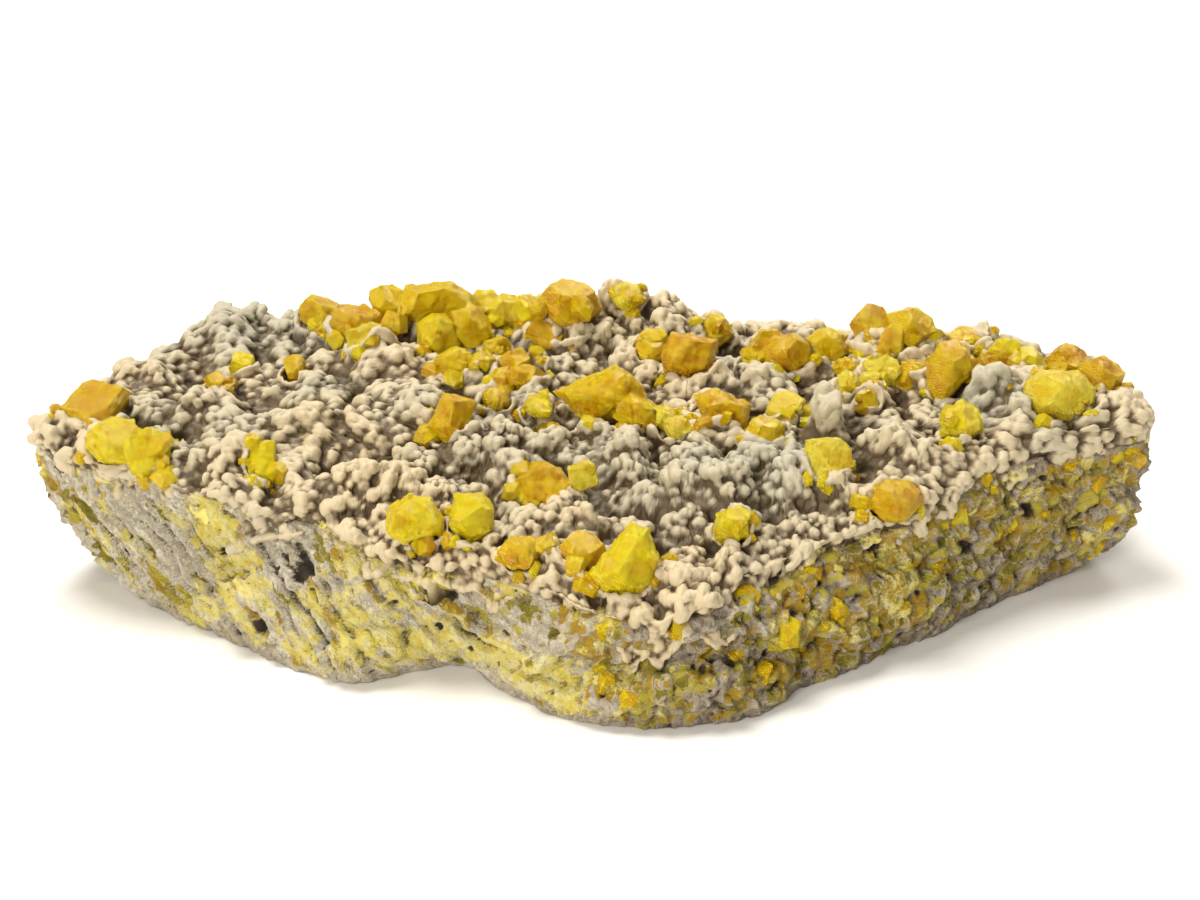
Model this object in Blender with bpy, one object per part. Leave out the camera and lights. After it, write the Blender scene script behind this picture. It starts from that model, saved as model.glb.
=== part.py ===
"""Native sulfur on its matrix: a wedge-fronted slab of bedded limestone, the lumpy aragonite crust that grew
over its top, and the sulfur crystals that stand in the crust and in pockets of the rock.

Run it with blender --background --python part.py. The origin is in the middle of the flat face that the slab
rests on, +X runs along its length, +Y to its back and +Z up. The dimensions below are millimetres.
"""

import math
from collections import namedtuple

import bmesh
import bpy
import numpy as np
from mathutils import Euler, Matrix, Vector

MM = 0.001

# ---------------------------------------------------------------- driving dimensions, mm

# Plan of the crust's edge and of the flat face at the foot, anticlockwise from the right tip.
RIM_PLAN = [
    (143, 6), (136, 20), (129, 38), (116, 53), (92, 64), (60, 70), (25, 75), (-15, 76), (-55, 74),
    (-88, 69), (-109, 59), (-124, 41), (-134, 20), (-140, 6), (-142, -4), (-129, -15), (-112, -19),
    (-92, -30), (-76, -36), (-63, -40), (-53, -49), (-42, -55), (-29, -55), (-17, -61), (-4, -69),
    (10, -74), (23, -71), (33, -60), (43, -53), (55, -45), (66, -39), (80, -33), (91, -21), (102, -12),
    (118, -6), (133, -4),
]
FOOT_PLAN = [
    (123, 4), (127, 24), (114, 46), (86, 58), (40, 64), (0, 67), (-45, 65), (-84, 58), (-110, 42),
    (-122, 18), (-122, -3), (-112, -16), (-92, -32), (-72, -48), (-60, -57), (-50, -56), (-40, -48),
    (-30, -48), (-21, -61), (-8, -72), (14, -77), (34, -73), (46, -59), (68, -41), (91, -22),
    (106, -9),
]
PLAN_HALF = (141, 78)  # half-axes of the ellipse that spreads the crust's grid evenly over the plan

CRUST_LEVEL = 44.0  # height of the crust's even surface over the origin
CRUST_RISE = 0.13  # it rises this much for each millimetre towards the back
CRUST_BOW = 0.0014  # and falls off with the square of that distance, most of all down the front
CRUST_DEPTH = 11.0  # from the even surface down to the rock
EDGE_BAND = 7.0  # width of the edge where the crust rolls over
EDGE_DROP = 2.5
EDGE_THIN = 4.0  # how much thinner the crust is at its edge
CRUST_LEAST = 2.5  # its least thickness, in the hollows
RING_INSET = 2.0  # the rock stands back under the crust's edge
SEAM_GAP = 0.3  # between pieces that touch
LUMP_CELL = 13.0  # spacing of the crust's lumps
LUMP_SHARE = 0.6  # how far they stand out, as a share of a full half ball
LUMP_SINK = 3.4  # how far their feet lie under the even surface

WALL_BELLY = 2.4  # how quickly the wall leaves the foot
BED_DIP = 45.0  # degrees down towards the front
BED_TURN = -0.2  # sideways share of that dip, down to the right
BED_THICKNESS = 7.5
BED_RELIEF = 2.4  # how far a hard bed stands out past a soft one

CRUST_CELLS = (38, 23)  # cells of the crust's grid along and across
WALL_ROWS = 6
SEAM_RINGS = (1.0, 0.55)  # rings of the seam between crust and rock, as shares of its radius

# A rise has a centre, half-axes and a height. A hollow has a negative height.
Rise = namedtuple("Rise", "x y across deep height")
RISES = [
    Rise(-100, 49, 11, 10, 9),  # crest at the back left
    Rise(-82, 56, 16, 9, 4),
    Rise(-48, 52, 24, 13, 7),  # ground of the great cluster
    Rise(-10, 52, 17, 13, 7),  # ground of the sparkling ball
    Rise(13, 56, 13, 13, 10),  # shoulder that falls away to the right
    Rise(-55, 29, 8, 7, 8),  # dark knoll
    Rise(-107, 4, 9, 8, 4),  # knoll over the left ledges
    Rise(-117, 28, 7, 7, 3),
    Rise(-134, 15, 7, 9, -4),
    Rise(-92, -20, 8, 6, 4),
    Rise(-64, -2, 17, 8, 6),  # shelf left of the middle
    Rise(-44, 6, 9, 8, 4),
    Rise(-54, -33, 13, 6, 4),  # terrace along the front left
    Rise(-25, -14, 6, 9, 5),  # chain beside the clear crystal
    Rise(-12, -13, 6, 6, 3),
    Rise(-5, -42, 7, 7, 6),  # leaning column over the front hollow
    Rise(6, -20, 7, 6, 5),
    Rise(27, -33, 17, 10, 4),  # broad smooth dome
    Rise(45, -22, 10, 8, 4),
    Rise(20, -66, 7, 6, 2),
    Rise(-13, 30, 6, 6, 4),
    Rise(3, 32, 8, 6, 4),
    Rise(45, 20, 10, 5, 3),
    Rise(56, -11, 4.5, 5, 12),  # tallest finger
    Rise(70, -16, 6, 5, 11),  # second finger
    Rise(77, -22, 5, 5, 6),
    Rise(99, 11, 6, 5, 5),
    Rise(104, 2, 4, 4, 4),
    Rise(110, 40, 12, 8, 3),
    Rise(82, 42, 16, 10, 4),  # ground of the back right cluster
    Rise(114, 12, 13, 11, 2),  # shoulder under the sulfur mass
    Rise(-85, 6, 6, 7, -5),  # hollows
    Rise(-60, -18, 8, 4, -7),
    Rise(-16, -33, 8, 5, -6),
    Rise(9, -36, 5, 3, -5),
    Rise(-24, 13, 4, 5, -4),
    Rise(34, 16, 6, 4, -4),
    Rise(62, -27, 6, 4, -4),
    Rise(-83, -24, 6, 3, -4),
]

# ---------------------------------------------------------------- sulfur

# Axial ratio of orthorhombic sulfur, a : b : c.
AXES = (0.813, 1.0, 1.903)

# How far each form stands from the crystal's middle, as shares of its size: the steep bipyramid {111}, the
# blunt bipyramid {113}, the dome {011} and the base {001}. None leaves a form out.
Habit = namedtuple("Habit", "steep blunt dome base")
HABITS = {
    "pyramid": Habit(0.72, 1.30, 0.95, 1.05),
    "blocky": Habit(0.92, 1.40, 0.92, 0.62),
    "rounded": Habit(0.86, 1.18, 0.80, 0.80),
    "plate": Habit(0.95, None, 1.05, 0.36),
    "chip": Habit(0.84, None, 0.92, 0.60),
}

# The large crystals are given face by face, as seen from the front and a little above.
LOOK_DOWN = 25.0  # degrees below level that they are looked along
NEAR_BEVEL = 24.0  # how far the outline's faces lean to the front and to the back, degrees
FAR_BEVEL = -38.0

# A member is one crystal of a node: where it stands in plan, how high its middle is over the even crust, its
# half size, its habit and its turn about X, Y and Z in degrees. Instead of a habit it may have an outline,
# as the (turn, reach) of each side, and front faces, as (turn, tilt, reach): the turn runs anticlockwise from
# the right, the tilt is 90 for a face square to the front, and the reach is from the middle to the face.
Member = namedtuple(
    "Member", "x y lift size habit turn outline fronts", defaults=(None, (0, 0, 0), (), ())
)


def shaped(x, y, lift, outline, fronts):
    return Member(x, y, lift, max(reach for _, reach in outline), outline=outline, fronts=fronts)


TONES = {
    "amber": (0.80, 0.42, 0.02),
    "gold": (0.85, 0.58, 0.03),
    "lemon": (0.87, 0.74, 0.06),
    "pale": (0.86, 0.70, 0.27),
}
Crystal = namedtuple("Crystal", "name tone members")
CRYSTALS = [
    Crystal(
        "sulfur_centre",
        "gold",
        [
            shaped(
                0, 2, 4.5,
                [(113, 5.8), (56, 9.0), (42, 9.8), (-61, 6.2), (-135, 7.8)],
                [(105, 62, 4.5), (10, 50, 7), (-110, 58, 5)],
            ),
            Member(9, -2, 2, 6, "blocky", (20, 30, 40)),
        ],
    ),
    Crystal(
        "sulfur_cube",
        "amber",
        [
            shaped(
                23, 26, 4.5,
                [(80, 5.7), (-13, 6.8), (-69, 5.9), (-100, 6.5), (180, 7.2), (152, 7.0)],
                [(-20, 78, 5), (125, 42, 5.6)],
            )
        ],
    ),
    Crystal(
        "sulfur_clear",
        "amber",
        [
            shaped(
                -36, -9, 4,
                [(155, 4.9), (-131, 5.5), (-85, 6.8), (-24, 4.3), (75, 6.1)],
                [(172, 55, 4.0), (-8, 42, 3.6), (-125, 45, 4.6)],
            )
        ],
    ),
    Crystal(
        "sulfur_great_cluster",
        "gold",
        [
            shaped(
                -44, 48, 4.5,
                [(95, 5.6), (60, 7.2), (28, 9.6), (-5, 11), (-45, 9), (-95, 6), (180, 10.4), (150, 9.6)],
                [(95, 42, 6.6), (-70, 60, 5.4), (175, 40, 8.2), (15, 45, 8.4)],
            ),
            Member(-35, 42, 2.5, 6.5, "rounded", (30, 50, 10)),
            Member(-57, 52, 3.5, 5.2, "blocky", (25, 35, 0)),
        ],
    ),
    Crystal(
        "sulfur_striped",
        "lemon",
        [
            shaped(
                -43, 38, 3.5,
                [
                    (90, 6.2), (125, 5.9), (180, 5.6), (-150, 6.0), (-100, 6.4), (-48, 6.1), (8, 5.8),
                    (50, 6.0),
                ],
                [(150, 52, 5.0), (-5, 50, 4.9)],
            )
        ],
    ),
    Crystal("sulfur_gold_ball", "gold", [Member(-37, 24, 2.5, 5.6, "rounded", (50, 20, 0))]),
    Crystal("sulfur_box", "amber", [Member(-65, 44, 3.5, 6.2, "blocky", (8, 5, 12))]),
    Crystal("sulfur_tan", "pale", [Member(-61, 32, 1.5, 5.2, "plate", (60, 30, 0))]),
    Crystal("sulfur_back_left", "gold", [Member(-76, 54, 1.5, 5.4, "blocky", (10, 20, 30))]),
    Crystal(
        "sulfur_back_middle",
        "lemon",
        [
            Member(-25, 48, 3, 5.4, "rounded", (70, 10, 10)),
            Member(-19, 49, 2, 4.6, "blocky", (20, 30, 0)),
            Member(-31, 53, 2.5, 5.0, "blocky", (40, 0, 10)),
        ],
    ),
    Crystal(
        "sulfur_ball",
        "gold",
        [Member(-8, 46, 4.5, 7.6, "rounded", (20, 10, 0)), Member(-14, 41, 1.5, 5, "plate", (35, 12, 26))],
    ),
    Crystal("sulfur_streak", "lemon", [Member(7, 51, 1.5, 4.4, "plate", (25, 20, 0))]),
    Crystal("sulfur_prism", "gold", [Member(-27, 35, 2, 4.2, "chip", (70, 40, 30))]),
    Crystal(
        "sulfur_sheaf",
        "gold",
        [
            Member(-22, 24, 2.5, 5.0, "pyramid", (35, 20, 0)),
            Member(-18, 16, 1.5, 5.0, "pyramid", (30, -20, 20)),
        ],
    ),
    Crystal(
        "sulfur_pair",
        "gold",
        [Member(14, 39, 2, 4.4, "rounded", (30, 0, 0)), Member(13, 33, 1.5, 4.2, "chip", (0, 40, 0))],
    ),
    Crystal("sulfur_horizon", "gold", [Member(31, 53, 1.0, 4.8, "blocky", (75, 10, 0))]),
    Crystal("sulfur_pebble", "gold", [Member(40, 32, 1.5, 3.4, "chip", (20, 50, 0))]),
    Crystal(
        "sulfur_roof",
        "amber",
        [
            shaped(
                49, 31, 3.2,
                [(100, 5.2), (60, 5.6), (5, 6.4), (-50, 6.0), (-100, 5.2), (180, 6.4), (140, 5.8)],
                [(120, 40, 4.4), (-20, 52, 4.6), (200, 50, 5.2)],
            ),
            Member(45, 38, 2, 5.0, "blocky", (60, 0, 10)),
        ],
    ),
    Crystal("sulfur_drum", "gold", [Member(60, 36, 3, 5.6, "rounded", (80, 20, 0))]),
    Crystal(
        "sulfur_right_cluster",
        "gold",
        [
            Member(82, 38, 3.5, 6.6, "rounded", (40, 35, 0)),
            Member(73, 43, 2.5, 6.2, "plate", (50, 20, 20)),
            Member(77, 35, 2.5, 4.8, "pyramid", (10, 10, 20)),
        ],
    ),
    Crystal("sulfur_wedge", "gold", [Member(64, 25, 1.5, 3.2, "chip", (20, 40, 0))]),
    Crystal("sulfur_mirror", "pale", [Member(73, 21, 2, 4.6, "plate", (30, 20, -20))]),
    Crystal(
        "sulfur_granules",
        "pale",
        [Member(63, 14, 1.5, 3.8, "chip", (0, 80, 0)), Member(68, 13, 1.5, 3.6, "chip", (60, 0, 0))],
    ),
    Crystal("sulfur_chip", "gold", [Member(67, 5, 1.5, 3.2, "chip", (60, 30, 0))]),
    Crystal("sulfur_knob", "gold", [Member(81, 22, 2, 3.6, "chip", (0, 0, 0))]),
    Crystal(
        "sulfur_standing",
        "gold",
        [
            shaped(
                89, 15, 5.2,
                [
                    (102, 7.6), (62, 7.8), (16, 6.4), (-44, 5.0), (-100, 9.0), (-155, 7.6), (180, 6.2),
                    (145, 6.4),
                ],
                [(100, 50, 6.0), (-35, 50, 4.4), (195, 52, 5.0)],
            )
        ],
    ),
    Crystal("sulfur_tail", "amber", [Member(100, 25, 1.5, 3.8, "chip", (20, 30, 0))]),
    Crystal("sulfur_back_right", "gold", [Member(97, 41, 0.5, 4.8, "plate", (12, 0, 0))]),
    Crystal(
        "sulfur_shoulder_pair",
        "lemon",
        [Member(106, 32, 2, 4.8, "rounded", (40, 0, 0)), Member(112, 27, 1.5, 4.2, "plate", (20, 0, 30))],
    ),
    Crystal(
        "sulfur_bright",
        "lemon",
        [
            shaped(
                88, -9, 3.0,
                [(120, 5.0), (60, 5.4), (10, 5.2), (-50, 5.2), (-110, 5.2), (180, 5.1)],
                [(170, 52, 4.2), (25, 50, 4.4)],
            )
        ],
    ),
    Crystal(
        "sulfur_right_tip",
        "amber",
        [Member(128, 18, 1.5, 6.0, "rounded", (20, 30, 0)), Member(122, 27, 1, 6.2, "blocky", (30, 20, 10))],
    ),
    Crystal(
        "sulfur_shoulder_mass",
        "pale",
        [
            shaped(
                115, 6, 1.0,
                [
                    (90, 6.4), (125, 8.0), (165, 9.4), (-150, 8.6), (-100, 6.6), (-50, 7.6), (-5, 9.2),
                    (45, 8.0),
                ],
                [(60, 45, 6.8), (160, 50, 6.8), (-40, 60, 5.8)],
            )
        ],
    ),
    Crystal(
        "sulfur_glitter",
        "amber",
        [
            shaped(
                30, -3, 3,
                [(66, 4.6), (103, 6.4), (-155, 5.2), (-113, 4.9), (-7, 7.0)],
                [(110, 40, 4.6), (-85, 66, 4.2), (5, 40, 6.0)],
            )
        ],
    ),
    Crystal("sulfur_leaning", "gold", [Member(40, -12, 1.5, 4.6, "rounded", (10, 10, 0))]),
    Crystal("sulfur_slab_pair", "pale", [Member(46, 2, 1.5, 4.4, "plate", (25, -15, 0))]),
    Crystal(
        "sulfur_frost",
        "pale",
        [Member(16, -4, 1.5, 3.8, "chip", (0, 30, 0)), Member(19, -9, 1.5, 3.8, "chip", (30, 30, 0))],
    ),
    Crystal("sulfur_lime_plate", "lemon", [Member(-15, 2, 1.5, 3.6, "plate", (20, 10, 30))]),
    Crystal("sulfur_small_gold", "gold", [Member(-26, 6, 1.5, 3.6, "chip", (30, 30, 0))]),
    Crystal("sulfur_hollow", "amber", [Member(-13, -30, 3, 6, "blocky", (50, 20, 0))]),
    Crystal("sulfur_hollow_flake", "pale", [Member(-4, -35, 3, 3.4, "plate", (75, 30, 0))]),
    Crystal(
        "sulfur_front_left",
        "lemon",
        [
            shaped(
                -42, -48, 2.5,
                [(180, 6.8), (128, 5.9), (80, 6.0), (35, 6.2), (-10, 6.8), (-75, 4.8), (-122, 6.2)],
                [(90, 40, 4.8), (-80, 60, 4.4), (20, 50, 5.2)],
            )
        ],
    ),
    Crystal(
        "sulfur_front_left_twin",
        "lemon",
        [
            shaped(
                -29, -47, 2.5,
                [(90, 5.8), (40, 5.6), (-5, 5.2), (-60, 5.4), (-130, 5.2), (170, 5.4)],
                [(110, 45, 4.6), (-30, 55, 4.4)],
            )
        ],
    ),
    Crystal(
        "sulfur_front",
        "lemon",
        [
            shaped(
                6, -61, 2.5,
                [(72, 8.4), (20, 7.2), (-15, 7.0), (-50, 7.6), (-95, 7.8), (-130, 8.6), (139, 4.9)],
                [(140, 48, 4.4), (-15, 60, 4.8), (-110, 45, 6.6)],
            )
        ],
    ),
    Crystal("sulfur_front_shade", "amber", [Member(-4, -56, 1, 4.8, "blocky", (20, 10, 0))]),
    Crystal("sulfur_front_dark", "amber", [Member(-18, -56, 0.5, 4.4, "rounded", (0, 0, 0))]),
    Crystal("sulfur_front_right", "lemon", [Member(30, -48, 1.5, 4.8, "rounded", (30, 0, 40))]),
    Crystal(
        "sulfur_flake",
        "lemon",
        [
            shaped(
                -81, -22, 1.5,
                [(95, 6.4), (0, 3.8), (-35, 5.6), (-110, 5.8), (180, 3.6)],
                [(160, 72, 2.2), (0, 70, 2.4)],
            )
        ],
    ),
    Crystal(
        "sulfur_left_sheets",
        "lemon",
        [
            Member(-117, -13, 0.5, 6.6, "blocky", (30, 20, 20)),
            Member(-109, -17, 0, 5.4, "plate", (50, 20, 0)),
        ],
    ),
    Crystal("sulfur_left_slab", "gold", [Member(-126, 3, 2, 7.2, "plate", (12, -12, 20))]),
    Crystal("sulfur_left_bits", "lemon", [Member(-93, 27, 1.5, 3.6, "chip", (20, 0, 40))]),
    Crystal("sulfur_left_chip", "gold", [Member(-98, 16, 1.5, 3.0, "chip", (40, 20, 10))]),
    Crystal("sulfur_left_bar", "gold", [Member(-79, 24, 1.5, 4.0, "chip", (0, 80, 10))]),
    Crystal("sulfur_yellow_ridge", "pale", [Member(54, -26, 1.5, 6.2, "plate", (40, 40, -20))]),
    Crystal("sulfur_edge_orange", "amber", [Member(69, -37, 0, 5.4, "blocky", (20, 10, 10))]),
    Crystal("sulfur_wall_left", "amber", [Member(-119, -13, -10, 5.0, "blocky", (40, 10, 30))]),
]

# ---------------------------------------------------------------- surfaces


def plan_radius(plan, angle):
    """Distance of a plan outline from the origin at an angle: its corners joined in polar terms, rounded."""
    corners = np.array(plan, float)
    turn = np.arctan2(corners[:, 1], corners[:, 0])
    reach = np.hypot(corners[:, 0], corners[:, 1])
    steps = np.linspace(0, 2 * math.pi, 720, endpoint=False)
    table = np.interp(steps, turn, reach, period=2 * math.pi)
    table = sum(np.roll(table, k) for k in range(-5, 6)) / 11
    return np.interp(angle, steps, table, period=2 * math.pi)


def scatter(i, j, salt):
    """A fixed number from 0 to 1 for each whole-number pair: the fraction of a large sine."""
    return np.mod(np.sin(i * 127.1 + j * 311.7 + salt * 74.7) * 43758.5453, 1.0)


def domes(x, y, cell):
    """Height of a field of half balls, one in each square cell, set off its middle by chance: the highest
    ball over each point."""
    column, row = np.floor(x / cell), np.floor(y / cell)
    top = np.zeros_like(x)
    for i in (-1, 0, 1):
        for j in (-1, 0, 1):
            a, b = column + i, row + j
            centre_x = (a + 0.2 + 0.6 * scatter(a, b, 1)) * cell
            centre_y = (b + 0.2 + 0.6 * scatter(a, b, 2)) * cell
            ball = cell * (0.5 + 0.3 * scatter(a, b, 3))
            left = ball**2 - (x - centre_x) ** 2 - (y - centre_y) ** 2
            top = np.maximum(top, np.sqrt(np.maximum(left, 0)))
    return top


def even_crust(x, y):
    """The crust without its lumps: a slope that rises to the back, plus a bell for each rise or hollow."""
    height = CRUST_LEVEL + CRUST_RISE * y - CRUST_BOW * y**2
    for rise in RISES:
        away = ((x - rise.x) / rise.across) ** 2 + ((y - rise.y) / rise.deep) ** 2
        height = height + rise.height * np.exp(-(away**1.5))
    return height


def seam_height(x, y, share):
    """The face between crust and rock: the slope again, lower down, with long waves and a raised edge."""
    waves = 1.0 * np.sin(x / 17 + 1) + 0.8 * np.sin(y / 13 + x / 31)
    slope = CRUST_RISE * y - CRUST_BOW * y**2
    return CRUST_LEVEL - CRUST_DEPTH + slope + waves + EDGE_THIN * share**3


def crust_top(x, y, share):
    """The lumpy crust: share is how far out a point lies, and near the edge the crust rolls down."""
    inward = np.hypot(x, y) * (1 - share) / np.maximum(share, 0.05)
    roll = np.clip(1 - inward / EDGE_BAND, 0, 1)
    lumps = LUMP_SHARE * domes(x, y, LUMP_CELL) - LUMP_SINK
    height = even_crust(x, y) + lumps * (1 - 0.6 * roll) - EDGE_DROP * roll**2
    return np.maximum(height, seam_height(x, y, share) + CRUST_LEAST)


def bed_relief(x, y, z):
    """How far the wall stands out at a point: each bed has its own depth, and eases into the next."""
    dip = math.radians(BED_DIP)
    across_beds = (z * math.cos(dip) + (y + BED_TURN * x) * math.sin(dip)) / BED_THICKNESS
    bed = np.floor(across_beds)
    ease = np.clip((across_beds - bed - 0.7) / 0.3, 0, 1)
    relief = scatter(bed, 0, 5) * (1 - ease) + scatter(bed + 1, 0, 5) * ease
    return BED_RELIEF * (relief - 0.5) * 2


def plan_grid(cells_along, cells_across):
    """Plan of an even square grid laid over the crust: the concentric map takes the square to a disc, the
    ellipse spreads the disc, and the plan's radius sets its edge. It gives x, y and each point's share of the
    way out."""
    u, v = np.meshgrid(
        np.linspace(-1, 1, cells_along + 1), np.linspace(-1, 1, cells_across + 1), indexing="ij"
    )
    wide = np.abs(u) >= np.abs(v)
    out = np.where(wide, u, v)
    small = np.where(wide, v, u)
    turn = (math.pi / 4) * np.divide(small, out, out=np.zeros_like(out), where=out != 0)
    turn = np.where(wide, turn, math.pi / 2 - turn)
    angle = np.arctan2(PLAN_HALF[1] * out * np.sin(turn), PLAN_HALF[0] * out * np.cos(turn))
    share = np.abs(out)
    reach = plan_radius(RIM_PLAN, angle) * share
    return reach * np.cos(angle), reach * np.sin(angle), share


def border(cells_along, cells_across):
    """Index pairs round the edge of the grid, anticlockwise from its low corner."""
    a, b = cells_along, cells_across
    south = [(i, 0) for i in range(a)]
    east = [(a, j) for j in range(b)]
    north = [(i, b) for i in range(a, 0, -1)]
    west = [(0, j) for j in range(b, 0, -1)]
    return south + east + north + west


# ---------------------------------------------------------------- Blender helpers


def clear_scene():
    for obj in list(bpy.data.objects):
        bpy.data.objects.remove(obj, do_unlink=True)


def material(name, colour, roughness):
    made = bpy.data.materials.new(name)
    made.use_nodes = True
    shader = made.node_tree.nodes["Principled BSDF"]
    shader.inputs["Base Color"].default_value = (*colour, 1)
    shader.inputs["Roughness"].default_value = roughness
    shader.inputs["Metallic"].default_value = 0.0
    return made


def mesh_object(name, bm, finish=None):
    mesh = bpy.data.meshes.new(name)
    bm.to_mesh(mesh)
    bm.free()
    made = bpy.data.objects.new(name, mesh)
    bpy.context.scene.collection.objects.link(made)
    if finish:
        mesh.materials.append(finish)
    return made


def boolean(obj, other, operation):
    step = obj.modifiers.new(f"{operation.lower()} {other.name}", "BOOLEAN")
    step.operation = operation
    step.solver = "EXACT"
    step.object = other


def as_helper(obj):
    obj.hide_render = True
    obj.display_type = "WIRE"
    return obj


# ---------------------------------------------------------------- rock and crust


def seam_rings(bm, angles, lift):
    """The seam as rings of points and a middle point, joined by triangles that face up: its outer ring."""
    rings = []
    for share in SEAM_RINGS:
        reach = (plan_radius(RIM_PLAN, angles) - RING_INSET) * share
        x, y = reach * np.cos(angles), reach * np.sin(angles)
        z = seam_height(x, y, share) + lift
        rings.append([bm.verts.new(p) for p in np.stack([x, y, z], 1) * MM])
    middle = bm.verts.new((0, 0, (seam_height(0.0, 0.0, 0.0) + lift) * MM))
    count = len(angles)
    for k in range(count):
        n = (k + 1) % count
        for outer, inner in zip(rings, rings[1:]):
            bm.faces.new((outer[k], outer[n], inner[k]))
            bm.faces.new((inner[k], outer[n], inner[n]))
        bm.faces.new((rings[-1][k], rings[-1][n], middle))
    return rings[0]


def seam_angles():
    """Directions of every second point of the crust's edge."""
    x, y, _ = plan_grid(*CRUST_CELLS)
    edge = border(*CRUST_CELLS)[::2]
    return np.array([math.atan2(y[k], x[k]) for k in edge])


def build_matrix(finish):
    """The rock: rings up the wall from the foot to the seam, pushed in and out by the beds, and a flat foot."""
    angles = seam_angles()
    bm = bmesh.new()
    top = seam_rings(bm, angles, 0.0)
    foot_reach = plan_radius(FOOT_PLAN, angles)
    top_reach = plan_radius(RIM_PLAN, angles) - RING_INSET
    top_height = seam_height(top_reach * np.cos(angles), top_reach * np.sin(angles), 1.0)
    rows = []
    for row in range(WALL_ROWS):
        up = row / WALL_ROWS
        outward = 1 - (1 - up) ** WALL_BELLY
        bulge = np.where(top_reach > foot_reach, outward, up**2)
        reach = foot_reach + (top_reach - foot_reach) * bulge
        z = top_height * up
        relief = bed_relief(reach * np.cos(angles), reach * np.sin(angles), z)
        reach = reach + relief * math.sin(math.pi * up)
        ring = np.stack([reach * np.cos(angles), reach * np.sin(angles), z], 1)
        rows.append([bm.verts.new(p) for p in ring * MM])
    rows.append(top)
    count = len(angles)
    for low, high in zip(rows, rows[1:]):
        for k in range(count):
            n = (k + 1) % count
            bm.faces.new((low[k], low[n], high[n], high[k]))
    bm.faces.new(rows[0][::-1])
    bmesh.ops.triangulate(bm, faces=bm.faces[:])
    bmesh.ops.recalc_face_normals(bm, faces=bm.faces)
    return mesh_object("limestone_matrix", bm, finish)


def build_crust(finish):
    """The crust: a lumpy grid on top, a band of triangles down its edge, and the seam below."""
    x, y, share = plan_grid(*CRUST_CELLS)
    z = crust_top(x, y, share)
    bm = bmesh.new()
    along, across = CRUST_CELLS
    top = [
        [bm.verts.new((x[i, j] * MM, y[i, j] * MM, z[i, j] * MM)) for j in range(across + 1)]
        for i in range(along + 1)
    ]
    for i in range(along):
        for j in range(across):
            bm.faces.new((top[i][j], top[i + 1][j], top[i + 1][j + 1], top[i][j + 1]))
    low = seam_rings(bm, seam_angles(), SEAM_GAP)
    edge = [top[i][j] for i, j in border(along, across)]
    for k, here in enumerate(low):
        after = low[(k + 1) % len(low)]
        first, middle, last = edge[2 * k], edge[2 * k + 1], edge[(2 * k + 2) % len(edge)]
        bm.faces.new((first, here, middle))
        bm.faces.new((middle, here, after))
        bm.faces.new((middle, after, last))
    bmesh.ops.triangulate(bm, faces=bm.faces[:])
    bmesh.ops.recalc_face_normals(bm, faces=bm.faces)
    return mesh_object("aragonite_crust", bm, finish)


# ---------------------------------------------------------------- crystals


def form_faces(h, k, l):
    """Outward directions of a crystal form, with the length that their cuts on the axes give them."""
    steps = [(sh, sk, sl) for sh in (1, -1) for sk in (1, -1) for sl in (1, -1)]
    found = {(h * a, k * b, l * c) for a, b, c in steps}
    return [Vector((i / AXES[0], j / AXES[1], m / AXES[2])) for i, j, m in sorted(found)]


def habit_faces(habit, size):
    """(outward direction, distance) of each face of a crystal's four forms, each a little uneven."""
    forms = [
        (1, 1, 1, habit.steep), (1, 1, 3, habit.blunt), (0, 1, 1, habit.dome), (0, 0, 1, habit.base)
    ]
    faces = []
    for h, k, l, share in (form for form in forms if form[3]):
        for n, direction in enumerate(form_faces(h, k, l)):
            uneven = 1 + 0.16 * (float(scatter(h + 2 * k + n, l, size)) - 0.5)
            faces.append((direction.normalized(), share * size * uneven))
    return faces


def outline_faces(outline, fronts, size):
    """The same for a crystal given by its outline: each side is two faces that meet at the widest line, one
    leaning to the front and one to the back, and a last face closes the back."""
    down = math.radians(LOOK_DOWN)
    right, up = Vector((1, 0, 0)), Vector((0, math.sin(down), math.cos(down)))
    front = Vector((0, -math.cos(down), math.sin(down)))
    sides = [
        (turn, bevel, reach * math.cos(math.radians(bevel)))
        for turn, reach in outline
        for bevel in (NEAR_BEVEL, FAR_BEVEL)
    ]
    faces = []
    for turn, tilt, reach in [*sides, *fronts, (0, -90, 0.75 * size)]:
        turn, tilt = math.radians(turn), math.radians(tilt)
        flat = right * math.cos(turn) + up * math.sin(turn)
        faces.append((flat * math.cos(tilt) + front * math.sin(tilt), reach))
    return faces


def faceted(faces, size):
    """A block cut down by one plane for each face, each cut closed again."""
    bm = bmesh.new()
    bmesh.ops.create_cube(bm, size=4 * size * MM)
    for direction, reach in faces:
        cut = bmesh.ops.bisect_plane(
            bm,
            geom=bm.verts[:] + bm.edges[:] + bm.faces[:],
            dist=1e-7,
            plane_co=direction * reach * MM,
            plane_no=direction,
            clear_outer=True,
        )
        rim = [e for e in cut["geom_cut"] if isinstance(e, bmesh.types.BMEdge)]
        if rim:
            bmesh.ops.contextual_create(bm, geom=rim)
    bmesh.ops.remove_doubles(bm, verts=bm.verts[:], dist=0.02 * MM)
    bmesh.ops.dissolve_degenerate(bm, edges=bm.edges[:], dist=0.02 * MM)
    bmesh.ops.recalc_face_normals(bm, faces=bm.faces)
    return bm


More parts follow.
